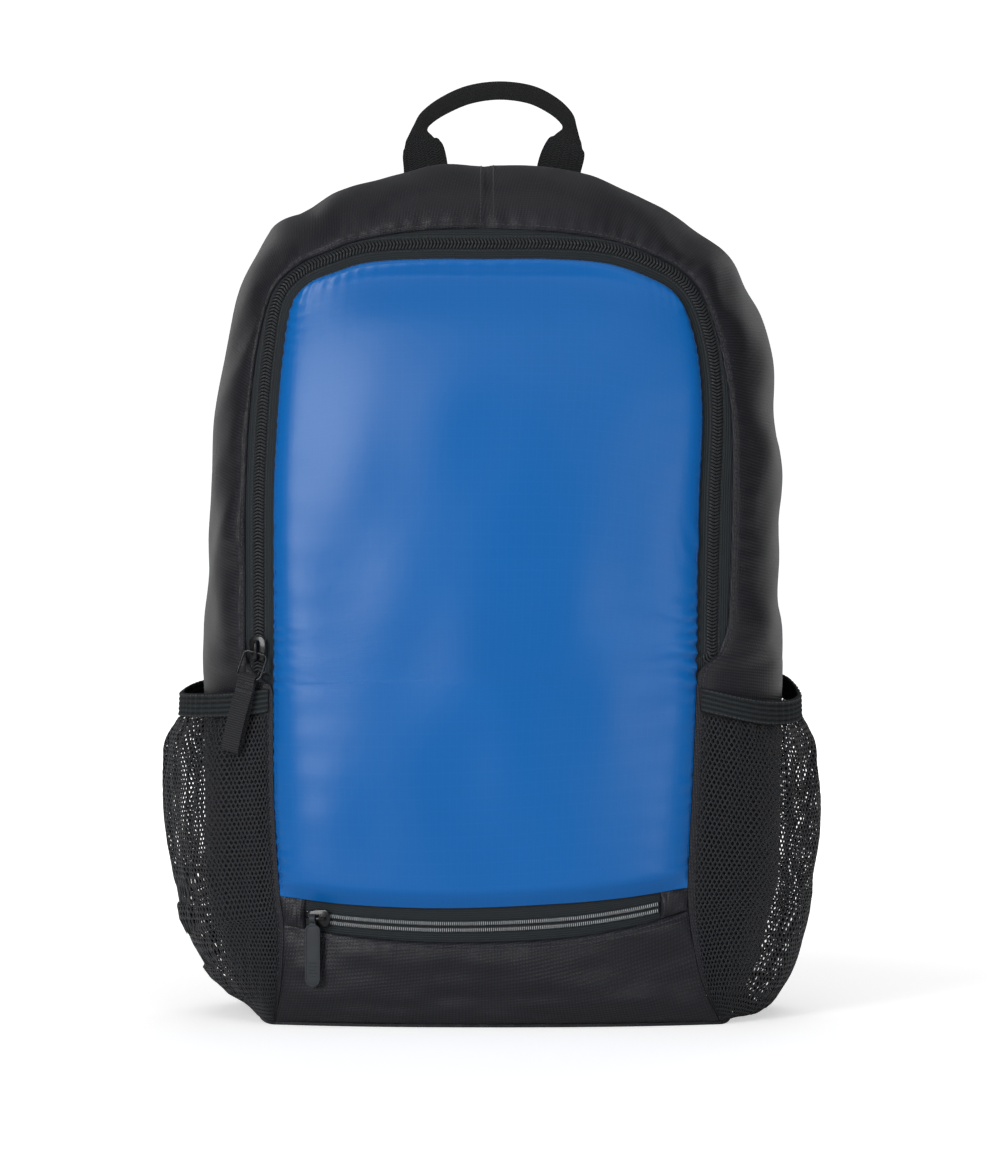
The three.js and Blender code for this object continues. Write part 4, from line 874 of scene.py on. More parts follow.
def blue_stand(u, v):
    """How far the blue cloth stands off the smooth front, in mm."""
    flat, brim = blue_flat(u, v), blue_flat(u, np.ones_like(v))
    x, z = flat[..., 0], flat[..., 1]
    left, right = u * BLUE_WIDE, (1 - u) * BLUE_WIDE
    low, high = z - panel_seam_z(x), brim[..., 1] - z
    edge = (1 - np.exp(-left / 6)) * (1 - np.exp(-right / 6))
    at_top, at_foot = 1 - np.exp(-high / 1.0), 1 - 0.8 * np.logaddexp(0, (FOLD_UNDER - low) / 0.8) / FOLD_UNDER
    stand = (3.6 + 2.2 * np.exp(-low / 90)) * edge * at_top * at_foot
    gathered = np.exp(-(((x + 6) / 62) ** 4))
    dip = np.exp(-(((high - 9.5) / np.where(high < 9.5, 5.0, 15.0)) ** 2))
    stand -= TOP_DIP * (0.12 + 0.88 * gathered) * dip * at_top * edge
    inner = (1 - np.exp(-np.minimum(left, right) / 18)) * (1 - np.exp(-np.minimum(low, high) / 18))
    stand += inner * (1.3 * swell(x, z, 95, 11) + 0.3 * swell(x * 1.25, z * 0.8, 38, 12))
    stand += (1.1 * puckers(z, left, 6.2, 5.0, 21) + 1.1 * puckers(z, right, 6.6, 6.5, 31)) * at_foot
    stand += 0.5 * puckers(z, left, 23, 17, 41) * inner
    creased = np.exp(-(((z - 205) / 60) ** 2))
    stand += (0.25 + 0.75 * creased) * 0.9 * puckers(z, right, 17, 26, 51) * edge
    stand += (0.35 + 0.65 * gathered) * 0.75 * puckers(left, high, 8.6, 9.0, 61) * at_top * edge
    return stand


def blue_cloth(u, v):
    flat = blue_flat(u, v)
    normal = front_normal(flat[..., 0], flat[..., 1])
    return on_front(flat[..., 0], flat[..., 1]) + normal * blue_stand(u, v)[..., None], normal


# %% The blue front's cloth
def shares(count, tight=0.0):
    """Even shares from 0 to 1, drawn towards both ends when tight is above 0."""
    s = np.linspace(0, 1, count)
    return s - tight * np.sin(2 * math.pi * s) / (2 * math.pi)


u, v = np.meshgrid(shares(122, 0.45), shares(168, 0.35))
face, normals = blue_cloth(u, v)
flat = np.stack([u * BLUE_WIDE, v * BLUE_TALL], axis=-1)
front_cloth = sheet_piece("front_cloth", face, normals, flat, CLOTH_WALL, SATIN, "bag",
                          ["front_panel"])

# %% [markdown]
# ## The black side bands
# Two lengths of black cloth run up the sides and meet over the top in one seam. They are cut wide, so they
# roll back from the zip in a round shoulder, with soft folds from the stitched edge and dents where the
# stuffing gives way. The hem beside the zip is turned in and stitched down.

# %% The side bands' surface
shoulder_dents = {"x": [104, 131, 146, -118, -137, 40], "z": [404, 379, 318, 392, 352, 437],
                  "deep": [1.6, 1.9, 1.4, 1.3, 1.4, 1.0], "wide": [11, 13, 18, 16, 20, 14]}
band_stations = np.linspace(0, LAST_STATION, 1441)
band_middle = band_point(band_stations, np.full_like(band_stations, 0.5))
band_runs = np.concatenate([[0], np.cumsum(np.linalg.norm(np.diff(band_middle, axis=0), axis=1))])
top_run = float(np.interp(TOP_STATION, band_stations, band_runs))
BAND_GIRTH = 176.0
BAND_DEPTH = 0.62 * BAND_GIRTH  # how far the band's width reaches from front to back, seen as a length of cloth


def band_stand(t, q):
    """How far the black cloth stands off the smooth side band, in mm."""
    run = np.interp(t, band_stations, band_runs)
    ahead, behind, seam = q * BAND_DEPTH, (1 - q) * BAND_DEPTH, np.abs(run - top_run)
    base = band_point(t, q)
    inner = (1 - np.exp(-ahead / 9)) * (1 - np.exp(-behind / 9))
    side = np.where(t < TOP_STATION, 0, 400)
    stand = inner * (1.25 * swell(run + side, q * 150, 52, 101) + 0.6 * swell(run, q * 150 + side, 21, 102))
    stand += 1.0 * puckers(run + side, ahead, 37, 42, 111) * inner
    stand += 0.75 * puckers(run + side, ahead, 9.5, 9, 121) * (1 - np.exp(-ahead / 2.5))
    stand += 0.6 * puckers(run, behind, 17, 20, 131) * (1 - np.exp(-behind / 3))
    for x, z, deep, wide in zip(*(shoulder_dents[k] for k in ("x", "z", "deep", "wide"))):
        near = np.exp(-(((base[..., 0] - x) ** 2 + (base[..., 2] - z) ** 2) / wide**2))
        stand -= deep * near * inner
    stand -= 0.9 * np.exp(-ahead / 1.3) + 0.35 * np.exp(-(((ahead - 2.4) / 0.8) ** 2))
    stand -= 0.8 * np.exp(-seam / 1.5)
    stand += 0.7 * ease((run - top_run) / 1.2 + 0.5) * np.exp(-seam / 9) * inner
    under_mesh = ease((196 - base[..., 2]) / 24)
    quiet = mix(1.0, 0.25 * np.sin(math.pi * np.clip(q, 0, 1)) ** 2, under_mesh)
    return stand * quiet


def band_cloth(t, q):
    normal = outward(band_point, t, q)
    return band_point(t, q) + normal * band_stand(t, q)[..., None], normal


# %% The side bands' cloth
def band_half(side):
    lap = 0.02
    ends = (0.0, TOP_STATION + lap) if side == "left" else (TOP_STATION - lap, LAST_STATION)
    low, high = (float(np.interp(e, band_stations, band_runs)) for e in ends)
    runs = np.linspace(low, high, 250)
    t = np.interp(runs, band_runs, band_stations)
    t[0], t[-1] = ends
    q, t = np.meshgrid(shares(62, 0.3), t)
    face, normal = band_cloth(t, q)
    normal[:, -1] = (0, 1, 0)
    normal[:, 0] = front_normal(face[:, 0, 0], face[:, 0, 2])
    foot = np.argmin(face[[0, -1], 0, 2])
    row = 0 if foot == 0 else -1
    normal[row, :, 2] = 0
    normal[row] = unit(normal[row])
    face[:, :, 2] = np.maximum(face[:, :, 2], FOOT_LEVEL)
    flat = np.stack([q * BAND_GIRTH, np.broadcast_to(runs[:, None], q.shape)], axis=-1)
    cloth = sheet_piece("side_cloth_" + side, face, normal, flat, CLOTH_WALL, DOBBY, "bag",
                        ["side_band_" + side])
    return cloth


for side in ("left", "right"):
    band_half(side)

# %% [markdown]
# ## The black front pocket
# Below the blue panel lies a low pocket of the black cloth, closed by a zip of its own. Its cloth is short and
# wide, so it carries flat level folds. At each end of the zip a small cloth tab covers the end of the tape.


# %% The front pocket and the tabs
POCKET_WIDE, POCKET_TALL, POCKET_CUT = 222.0, 48.0, 50.0
pocket_high = crossing(pocket_top_z, "left", -SEAM_GAP)
pocket_high_right = crossing(pocket_top_z, "right", -SEAM_GAP)


def pocket_flat(u, v):
    left = lambda v: seam_inside(mix(0.0, pocket_high, v))
    right = lambda v: seam_inside(mix(LAST_STATION, pocket_high_right, v))
    zero, one = np.zeros(1), np.ones(1)
    foot_left, foot_right = left(zero)[0, 0], right(zero)[0, 0]
    bottom = lambda u: np.stack([mix(foot_left, foot_right, u), np.full_like(u, FOOT_LEVEL)], axis=-1)
    top = across_front(left(one)[0, 0], right(one)[0, 0], pocket_top_z, -SEAM_GAP)
    return patch_of(left, right, bottom, top, u, v)


def pocket_stand(u, v):
    left, right, low, high = u * POCKET_WIDE, (1 - u) * POCKET_WIDE, v * POCKET_TALL, (1 - v) * POCKET_TALL
    edge = (1 - np.exp(-left / 5)) * (1 - np.exp(-right / 5)) * (1 - np.exp(-high / 3)) * (1 - np.exp(-low / 5))
    stand = 2.2 * edge + 1.3 * edge * swell(left * 0.45, low * 1.5, 26, 201)
    stand += 0.4 * edge * swell(left, low * 2, 14, 202)
    stand += 0.3 * puckers(left, high, 9.5, 7, 211) * (1 - np.exp(-high / 1.5))
    stand += 0.5 * (puckers(low, left, 9, 14, 221) + puckers(low, right, 8, 14, 231)) * edge
    stand -= 0.6 * np.exp(-high / 1.2) + 0.3 * np.exp(-(((high - 2.3) / 0.8) ** 2))
    return stand


def pocket_cloth(u, v):
    flat = pocket_flat(u, v)
    normal = front_normal(flat[..., 0], flat[..., 1])
    return on_front(flat[..., 0], flat[..., 1]) + normal * pocket_stand(u, v)[..., None], normal


u, v = np.meshgrid(shares(130, 0.3), shares(40, 0.3))
face, normals = pocket_cloth(u, v)
face[0, :, 2] = FOOT_LEVEL
flat = np.stack([u * POCKET_WIDE, v * POCKET_CUT], axis=-1)
pocket_piece = sheet_piece("pocket_cloth", face, normals, flat, CLOTH_WALL, DOBBY, "bag",
                           ["front_pocket"])


def zip_tab(side):
    low, high = crossing(pocket_top_z, side), crossing(panel_seam_z, side, -SEAM_GAP)
    inner_x = POCKET_ZIP_LEFT if side == "left" else POCKET_ZIP_RIGHT
    edge_line = lambda v: seam_inside(mix(low, high, v))
    inner_ends = (float(pocket_top_z(inner_x)), float(panel_seam_z(inner_x)) - SEAM_GAP)
    inner_line = lambda v: np.stack([np.full_like(v, inner_x), mix(*inner_ends, v)], axis=-1)
    left, right = (edge_line, inner_line) if side == "left" else (inner_line, edge_line)
    zero, one = np.zeros(1), np.ones(1)
    bottom = across_front(left(zero)[0, 0], right(zero)[0, 0], pocket_top_z)
    top = across_front(left(one)[0, 0], right(one)[0, 0], panel_seam_z, -SEAM_GAP)
    u, v = np.meshgrid(shares(26, 0.3), shares(26, 0.3))
    flat = patch_of(left, right, bottom, top, u, v)
    wide = abs(float(edge_line(zero)[0, 0]) - inner_x)
    inward = (1 - u if side == "left" else u) * wide
    edge = (1 - np.exp(-inward / 1.6)) * (1 - np.exp(-(wide - inward) / 3)) * (1 - np.exp(-v * 16 / 2))
    edge = edge * (1 - np.exp(-(1 - v) * 16 / 2))
    stand = edge * (1.7 + 0.8 * swell(inward * 1.4, v * 16, 8, 241 if side == "left" else 242))
    stand -= 0.5 * np.exp(-inward / 1.0) + 0.35 * np.exp(-(((inward - 3.0) / 0.7) ** 2))
    normal = front_normal(flat[..., 0], flat[..., 1])
    face = on_front(flat[..., 0], flat[..., 1]) + normal * stand[..., None]
    cut = np.stack([u * wide, v * 16], axis=-1)
    tab = sheet_piece("zip_tab_" + side, face, normal, cut, CLOTH_WALL, DOBBY, "bag",
                      ["zip_end_tab_" + side])
    print(tab.name, round(wide, 1), "mm wide")


for side in ("left", "right"):
    zip_tab(side)

# %% [markdown]
# ## Zip tapes
# A zip tape is a firm woven band that lies a little behind the cloth on both sides of it. The long one follows
# the seam. At its outer edge it turns back with the side band. The pocket's tape is short and nearly straight.


# %% Zip tapes
def zip_stations(low_left, low_right, step=1.0):
    start, stop = station_at(low_left, "left"), station_at(low_right, "right")
    fine = np.linspace(start, stop, 4000)
    line = seam_at(fine)[0]
    run = np.concatenate([[0], np.cumsum(np.linalg.norm(np.diff(line, axis=0), axis=1))])
    return np.interp(np.linspace(0, run[-1], int(run[-1] / step)), run, fine)


def main_tape():
    t = zip_stations(168, 175, 4.0)
    place, out, band, _ = seam_at(t)
    levels = np.linspace(0, 1, 9)
    columns = [np.full_like(band, -TAPE_LAP)] + [band * s for s in levels] + [band + 0.2]
    rows = []
    for distance in columns:
        point = place + out * distance[:, None]
        rows.append(on_front(point[:, 0], point[:, 1], TAPE_DROP))
    edge = band_point(t, np.zeros_like(t))
    turn = band_point(t, np.full_like(t, 0.1)) - edge
    rows.append(edge + unit(turn) * TAPE_LAP + np.array([0, TAPE_DROP + SEAM_GAP, 0]))
    face = np.stack(rows, axis=1)
    normal = np.broadcast_to(front_normal(face[:, 3, 0], face[:, 3, 2])[:, None], face.shape)
    run = np.concatenate([[0], np.cumsum(np.linalg.norm(np.diff(place, axis=0), axis=1))])
    across = np.stack(columns + [band + TAPE_LAP], axis=1)
    flat = np.stack([across, np.broadcast_to(run[:, None], across.shape)], axis=-1)
    tape = sheet_piece("main_tape", face, normal, flat, TAPE_WALL, ZIP_TAPE, "bag",
                       ["main_zip_tape"], step=3)
    print("long tape", round(float(run[-1])), "mm")
    return tape


def pocket_tape():
    x, v = np.meshgrid(np.linspace(POCKET_ZIP_LEFT - TAPE_LAP, POCKET_ZIP_RIGHT + TAPE_LAP, 60), shares(9))
    z = mix(pocket_top_z(x) - TAPE_LAP, panel_seam_z(x) + TAPE_LAP, v)
    face = on_front(x, z, TAPE_DROP)
    flat = np.stack([z - pocket_chain_z(x), x], axis=-1)
    return sheet_piece("pocket_tape", face, front_normal(x, z), flat, TAPE_WALL, ZIP_TAPE, "bag",
                       ["pocket_zip_tape"], step=3)


main_tape()
pocket_tape()

# %% [markdown]
# ## The coil of the long zip
# The long zip shows its coil: a nylon wire wound so that its loops slant from the middle out to both sides
# like the barbs of a feather, about 1.75 mm apart. Each loop is one arched bar, left and right mirrored. A low
# ridge under the bars closes the view between them and is painted nearly black, as painted shade between the
# loops, and a line of thread holds the coil down on each side.


# %% The coil
def chain_line(t, sideways=0.0, depth=TAPE_DROP - SEAM_GAP):
    place, out, band, _ = seam_at(t)
    middle = np.minimum(CHAIN_OFFSET, band - CHAIN_HALF - 0.5)
    point = place + out * (middle + sideways)[:, None]
    return on_front(point[:, 0], point[:, 1], depth)


def closed_bar(name, corners, finish, cut_along=None):
    """A long closed bar from one line of points (n, 3) for each corner of its section."""
    corners = np.stack(corners, axis=1)
    count, around = corners.shape[:2]
    faces = [(i * around + j, (i + 1) * around + j, (i + 1) * around + (j + 1) % around,
              i * around + (j + 1) % around) for i in range(count - 1) for j in range(around)]
    faces += [tuple(range(around)), tuple((count - 1) * around + j for j in reversed(range(around)))]
    flat = None
    if cut_along is not None:
        flat = np.stack(np.meshgrid(np.linspace(-6, 6, around), cut_along), axis=-1).reshape(-1, 2)
    return closed_mesh(name, corners.reshape(-1, 3), faces, flat, finish)


chain_t = zip_stations(181, 189, 0.5)
COIL_PITCH = 1.75
core = []
for sideways, rise in ((-2.5, 0.0), (2.5, 0.0), (2.35, 0.35), (1.4, 0.75), (0.35, 0.8), (0, 0.5), (-0.35, 0.8),
                       (-1.4, 0.75), (-2.35, 0.35)):
    core.append(chain_line(chain_t[::6], sideways, TAPE_DROP - SEAM_GAP - rise))
# the core under the loops has the nearly black cord finish: painted shade between the loops
put("coil_core", closed_bar("coil_core", core, CORD_PAINTED_SHADE), "bag", ["main_zip_teeth"])
middle = chain_line(chain_t, 0.0, TAPE_DROP - SEAM_GAP)
facing = front_normal(middle[:, 0], middle[:, 2])
teeth = evenly(middle, facing, COIL_PITCH)
bar_rows("coil_left", [teeth], (-0.1, 0.5, 0.95), (-1.6, 0.0, 1.5), (-2.5, -0.7, 0.3), 0.47, COIL,
         seed=7, sides=6, steps=4, uneven=0.03)
bar_rows("coil_right", [teeth], (0.1, 0.5, 0.95), (1.6, 0.0, 1.5), (2.5, -0.7, 0.3), 0.47, COIL,
         seed=8, sides=6, steps=4, uneven=0.03)
rows = []
for sideways in (-3.5, 3.5):
    line = chain_line(chain_t, sideways, TAPE_DROP - 0.1)
    rows.append(evenly(line, front_normal(line[:, 0], line[:, 2]), COIL_PITCH))
stitches("coil_sewing", rows, THREAD_PAINTED_GLINT, length=1.5, seed=9, thread=0.22)

# %% [markdown]
# ## The pocket's zip
# This zip lies with its back to the front, so the coil is hidden under the tape and shows as two soft ridges.
# The grey thread that sews the coil shows as two rows of short upright ticks with the slit between them.


# %% The pocket's zip
x_line = np.linspace(POCKET_ZIP_LEFT + 0.9, POCKET_ZIP_RIGHT - 0.9, 140)
ridge = []
for sideways, rise in ((-2.8, 0.0), (2.8, 0.0), (2.65, 0.65), (2.0, 1.15), (1.2, 1.2), (0.45, 0.95), (0.12, 0.45),
                       (-0.12, 0.45), (-0.45, 0.95), (-1.2, 1.2), (-2.0, 1.15), (-2.65, 0.65)):
    ridge.append(on_front(x_line, pocket_chain_z(x_line) + sideways, TAPE_DROP - SEAM_GAP - rise))
put("pocket_coil_cover", closed_bar("pocket_coil_cover", ridge, ZIP_TAPE, x_line), "bag",
    ["pocket_zip_teeth"])
rows = []
for sideways in (-1.7, 1.7):
    line = on_front(x_line, pocket_chain_z(x_line) + sideways, TAPE_DROP - SEAM_GAP - 1.22)
    rows.append(evenly(line, front_normal(line[:, 0], line[:, 2]), 1.05))
bar_rows("pocket_zip_ticks", rows, (-0.82, 0, -0.12), (0, 0, 0.42), (0.82, 0, -0.12), 0.2, GREY_THREAD,
         seed=11, sides=5, steps=4, uneven=0.06)

# %% [markdown]
# ## Mesh side pockets
# The side pockets are knitted mesh with six-sided holes, drawn tight at the foot and the two side seams. A net
# of flat six-sided cells is laid on the pocket's surface first, and a Geometry Nodes tree then shrinks each
# cell's face and cuts it out, so what is left is the net of strands between the holes. A wall gives it thickness.

# %% The pockets' surface
MESH_MOUTH, BAND_HEIGHT, BAND_WALL, NET_WIDE = 158.0, 12.5, 1.8, 215.0
POCKET_BULGE, BULGE_POWER, POCKET_START, POCKET_STOP = 23.0, 1.5, 0.02, 0.97
pocket_swell = {"at": [0, 0.05, 0.14, 0.28, 0.45, 0.65, 0.85, 0.93, 1.0],
                "left": [0.02, 0.12, 0.48, 0.57, 0.6, 0.86, 0.88, 0.8, 0.49],
                "right": [0.04, 0.56, 0.8, 0.83, 0.73, 0.86, 0.74, 0.68, 0.36]}
rim_sag = {"at": [0, 0.25, 0.5, 0.75, 1],
           "left": [0.3, 0, -0.23, -0.05, 0.1],
           "right": [0.37, -0.2, -0.15, 0.35, 0.5]}
pocket_rows = [0, 0.08, 0.18, 0.3, 0.42, 0.54, 0.66, 0.78, 0.9, 1]
pocket_levels = np.linspace(0, 1, 60)
pocket_stations = {side: [station_at(z, side) for z in mix(FOOT_LEVEL, MESH_MOUTH, pocket_levels)]
                   for side in ("left", "right")}


def pocket_base(side, h, s):
    """Point, normal and how far the pocket stands off the band, at shares h of its height and s round it."""
    t, q = np.interp(h, pocket_levels, pocket_stations[side]), mix(POCKET_START, POCKET_STOP, s)
    normal = unit(sum(outward(band_point, np.clip(t + turn, 0, LAST_STATION), q) for turn in (-0.8, 0, 0.8)))
    height = (seam_at(t)[0][..., 1] - FOOT_LEVEL) / (MESH_MOUTH - FOOT_LEVEL)
    swelling = POCKET_BULGE * along_table(pocket_swell, side, height)
    return band_point(t, q), normal, swelling * np.sin(math.pi * np.clip(s, 0, 1)) ** BULGE_POWER


def pocket_point(side, h, s, stand=0.0):
    base, normal, swelling = pocket_base(side, h, s)
    seed = 300 if side == "left" else 320
    around, high = s * NET_WIDE, h * MESH_MOUTH
    folds = 1.1 * swell(around * 1.6, high * 0.4, 26, seed) + 0.5 * swell(around * 2, high * 0.7, 13, seed + 1)
    folds += 0.8 * puckers(around, MESH_MOUTH - high, 11, 26, seed + 2)
    folds += 0.6 * puckers(around, high, 12, 22, seed + 3)
    folds = np.maximum(folds, -swelling * 0.5) * np.sin(math.pi * np.clip(s, 0, 1)) ** 0.7 * ease(high / 14)
    point = base + normal * (SEAM_GAP + swelling + folds + stand)[..., None]
    row = np.interp(h, pocket_rows, np.linspace(0, 1, len(pocket_rows)))
    rise = ease(row * 1.6 - 0.6) * BAND_HEIGHT * along_table(rim_sag, side, s)
    point[..., 2] = np.maximum(FOOT_LEVEL + 0.2, point[..., 2] + rise)
    return point


# %% The tree that cuts the holes
def cut_net_tree():
    tree = bpy.data.node_groups.new("cut_net", "GeometryNodeTree")
    sockets = tree.interface
    sockets.new_socket("Cells", in_out="INPUT", socket_type="NodeSocketGeometry")
    sockets.new_socket("Hole share", in_out="INPUT", socket_type="NodeSocketFloat")
    sockets.new_socket("Finish", in_out="INPUT", socket_type="NodeSocketMaterial")
    sockets.new_socket("Net", in_out="OUTPUT", socket_type="NodeSocketGeometry")
    given = add(tree, "NodeGroupInput").outputs
    raised = add(tree, "GeometryNodeExtrudeMesh",
                 [("Mesh", given["Cells"]), ("Offset Scale", 0.0), ("Individual", True)], mode="FACES")
    shrunk = add(tree, "GeometryNodeScaleElements",
                 [("Geometry", raised.outputs["Mesh"]), ("Selection", raised.outputs["Top"]),
                  ("Scale", given["Hole share"])], domain="FACE")
    opened = add(tree, "GeometryNodeDeleteGeometry",
                 [("Geometry", shrunk.outputs["Geometry"]), ("Selection", raised.outputs["Top"])], domain="FACE")
    real = add(tree, "GeometryNodeRealizeInstances", [("Geometry", opened.outputs["Geometry"])])
    done = add(tree, "GeometryNodeSetMaterial",
               [("Geometry", real.outputs["Geometry"]), ("Material", given["Finish"])])
    add(tree, "NodeGroupOutput", [("Net", done.outputs["Geometry"])])
    return tree


CUT_NET = cut_net_tree()
HOLE_PITCH, HOLE_ROW = 3.1, 2.25


def mesh_pocket(side):
    wide, tall = 214.0, 157.0
    columns, rows = int(wide / HOLE_PITCH), int(tall / HOLE_ROW)
    lean = 1 / 6
    corners, cells, index = [], [], {}

    def corner(a, b):
        key = (round(a * 2), round(b * 6))
        if key not in index:
            index[key] = len(corners)
            corners.append((a, b))
        return index[key]

    for j in range(rows):
        shift = 0.5 * (j % 2)
        for i in range(columns - (j % 2)):
            a, b, tip = i + 0.5 + shift, j + 1 - lean, 1 - lean
            cells.append([corner(a - 0.5, b - lean), corner(a, b - tip), corner(a + 0.5, b - lean),
                          corner(a + 0.5, b + lean), corner(a, b + tip), corner(a - 0.5, b + lean)])
    grid = np.array(corners, float)
    s = np.clip(grid[:, 0] / columns, 0, 1)
    h = np.clip(grid[:, 1] / (rows + 1 - 2 * lean), 0, 1)
    points = pocket_point(side, h, s, 0.5)
    carrier = bpy.data.meshes.new("cells_" + side)
    carrier.from_pydata((points * MM).tolist(), [], cells)
    net = baked("mesh_net_" + side, carrier, CUT_NET, {"Hole share": 0.67, "Finish": KNIT}, thickness=0.5 * MM)
    net.shade_smooth()
    piece = put("mesh_net_" + side, net, "bag", ["mesh_pocket_" + side])
    print(piece.name, len(cells), "holes,", sum(len(p.vertices) - 2 for p in net.polygons), "triangles")
    return piece


for side in ("left", "right"):
    mesh_pocket(side)

# %% [markdown]
# ## Elastic at the pockets' mouths
# A ribbed elastic hems each mouth. It has five rows of covered rubber along it, which stand as round ribs, and
# it draws the mouth in. Its ends are sewn into the same seams as the mesh.


# %% Elastic
def rim_point(side, up, s, stand):
    """A point of the elastic: up is the share of its height."""
    base, normal, swelling = pocket_base(side, np.ones_like(s), s)
    tuck = 1 - 0.05 * up
    run = s * NET_WIDE
    folds = 0.45 * np.sin(run * 2 * math.pi / 7.5 + 1.3 * swell(run, run * 0, 30, 351)) * np.sin(math.pi * s)
    point = base + normal * (swelling * tuck + SEAM_GAP + stand + folds)[..., None]
    rise = BAND_HEIGHT * along_table(rim_sag, side, s)
    point[..., 2] += rise + SEAM_GAP + up * BAND_HEIGHT
    return point, normal


def elastic(side):
    s, up = np.meshgrid(np.linspace(0, 1, 150), np.linspace(0, 1, 26))
    rib = np.abs(np.sin(up * math.pi * 5)) ** 0.7
    edge = 1 - np.exp(-np.minimum(up, 1 - up) * BAND_HEIGHT / 0.5)
    outer, normal = rim_point(side, up, s, BAND_WALL - 0.45 + 0.45 * rib - 0.5 * (1 - edge))
    inner, _ = rim_point(side, up, s, 0.0)
    flat = np.stack([s * NET_WIDE, up * BAND_HEIGHT], axis=-1)
    points, faces, picked = cloth_wall(outer, inner, 3)
    mesh = closed_mesh("rim_elastic_" + side, points, faces, flat.reshape(-1, 2)[picked], ELASTIC, 70)
    piece = put("rim_elastic_" + side, mesh, "bag", ["pocket_elastic_" + side])
    return piece


for side in ("left", "right"):
    piece = elastic(side)
    print(piece.name, len(piece.data.polygons), "faces")

# %% [markdown]
# ## Sliders
# A zip slider is a small casting: a waisted plate with round edges, flanges along its sides and an arched bail
# on top that holds the pull. The plate is an outline with its edges rounded by a bevel, and the bail is a round
# bar swept over an arch.


# %% Sliders
SLIDER_LENGTH, SLIDER_WIDTH, SLIDER_PLATE = 12.5, 9.0, 2.4
BAIL_BAR, BAIL_SPAN, BAIL_SHIFT, BAIL_RISE, BAIL_WIDTH = 1.5, 10.6, 0.9, 3.4, 1.8
CHAIN_FACE = TAPE_DROP - SEAM_GAP - CHAIN_RISE - SEAM_GAP


def facing_place(place):
    """The turn about the upright and the place of what is fixed on the front at a point."""
    normal = front_normal(np.array([place[0]]), np.array([place[2]]))[0]
    return Matrix.Translation(Vector(place)) @ Matrix.Rotation(math.atan2(normal[0], -normal[1]), 4, "Z")


def extruded(outline, thickness, holes=()):
    """Points and faces of a flat plate in the xy plane, centred on it; holes are bridged by the fill."""
    made = bmesh.new()
    edges = []
    for loop in [outline, *holes]:
        corners = [made.verts.new((x, y, -thickness / 2)) for x, y in loop]
        edges += [made.edges.new((a, b)) for a, b in zip(corners, corners[1:] + corners[:1])]
    filled = bmesh.ops.triangle_fill(made, edges=edges, use_beauty=True, use_dissolve=False)
    faces = [f for f in filled["geom"] if isinstance(f, bmesh.types.BMFace)]
    up = bmesh.ops.extrude_face_region(made, geom=faces)
    bmesh.ops.translate(made, vec=(0, 0, thickness),
                        verts=[v for v in up["geom"] if isinstance(v, bmesh.types.BMVert)])
    bmesh.ops.recalc_face_normals(made, faces=made.faces)
    mesh = bpy.data.meshes.new("plate")
    made.to_mesh(mesh)
    made.free()
    return mesh


def rounded_off(mesh, width, segments=3):
    """The mesh with its hard edges beveled, as a plain mesh."""
    holder = bpy.data.objects.new("holder", mesh)
    bpy.context.scene.collection.objects.link(holder)
    bevel = holder.modifiers.new("bevel", "BEVEL")
    bevel.width, bevel.segments, bevel.limit_method = width, segments, "ANGLE"
    bevel.angle_limit = math.radians(35)
    view = bpy.context.evaluated_depsgraph_get()
    view.update()
    made = bpy.data.meshes.new_from_object(holder.evaluated_get(view))
    bpy.data.objects.remove(holder)
    return made


def joined(name, parts, matrix, finish):
    """One mesh from (mesh, matrix) parts in mm, moved into place and turned to metres."""
    made = bmesh.new()
    for mesh, own in parts:
        copy = mesh.copy()
        copy.transform(Matrix.Scale(MM, 4) @ matrix @ own)
        made.from_mesh(copy)
        bpy.data.meshes.remove(copy)
    result = bpy.data.meshes.new(name)
    made.to_mesh(result)
    made.free()
    result.materials.clear()
    result.materials.append(finish)
    for face in result.polygons:
        face.material_index = 0
    result.shade_smooth()
    result.set_sharp_from_angle(angle=math.radians(48))
    return result


def mm_mesh(points, faces):
    """A mesh that stays in mm, for joined."""
    return closed_mesh("part", np.asarray(points) / MM, faces)


def slider_parts():
    half = SLIDER_WIDTH / 2
    side = [(0.45, 0.5), (0.72, 0.43), (0.94, 0.36), (1.0, 0.26), (0.98, 0.1), (0.93, -0.08), (0.84, -0.28),
            (0.78, -0.44), (0.66, -0.5)]
    outline = [(half * x, SLIDER_LENGTH * y) for x, y in side]
    outline += [(-x, y) for x, y in reversed(outline)]
    top = rounded_off(extruded(outline, 0.95), 0.34)
    low = rounded_off(extruded([(x * 0.96, y * 0.98) for x, y in outline], 0.8), 0.25)
    inner = rounded_off(extruded([(x * 0.62, y * 0.8) for x, y in outline], 1.2), 0.2)
    lay = Matrix.Rotation(math.pi / 2, 4, "X")
    span = BAIL_SPAN / 2 - BAIL_BAR / 2
    climb = [(0.4, 1), (-1.2, 1), (-2.5, 0.97), (0.25 - BAIL_RISE, 0.78), (-BAIL_RISE, 0.4)]
    arch = [(0, y, -share * span) for y, share in climb] + [(0, -BAIL_RISE, 0)]
    arch = rounded_line(arch + [(0, y, share * span) for y, share in reversed(climb)], 4)
    section = rounded_section(BAIL_WIDTH, BAIL_BAR, 0.6, 2)
    points, faces, _ = swept(arch, (1, 0, 0), section)
    bail = mm_mesh(points, faces)
    return [(top, Matrix.Translation((0, -SLIDER_PLATE + 0.5, 0)) @ lay),
            (low, Matrix.Translation((0, -0.45, 0)) @ lay),
            (inner, Matrix.Translation((0, -SLIDER_PLATE / 2, 0)) @ lay),
            (bail, Matrix.Translation((0, -SLIDER_PLATE, -BAIL_SHIFT)))]


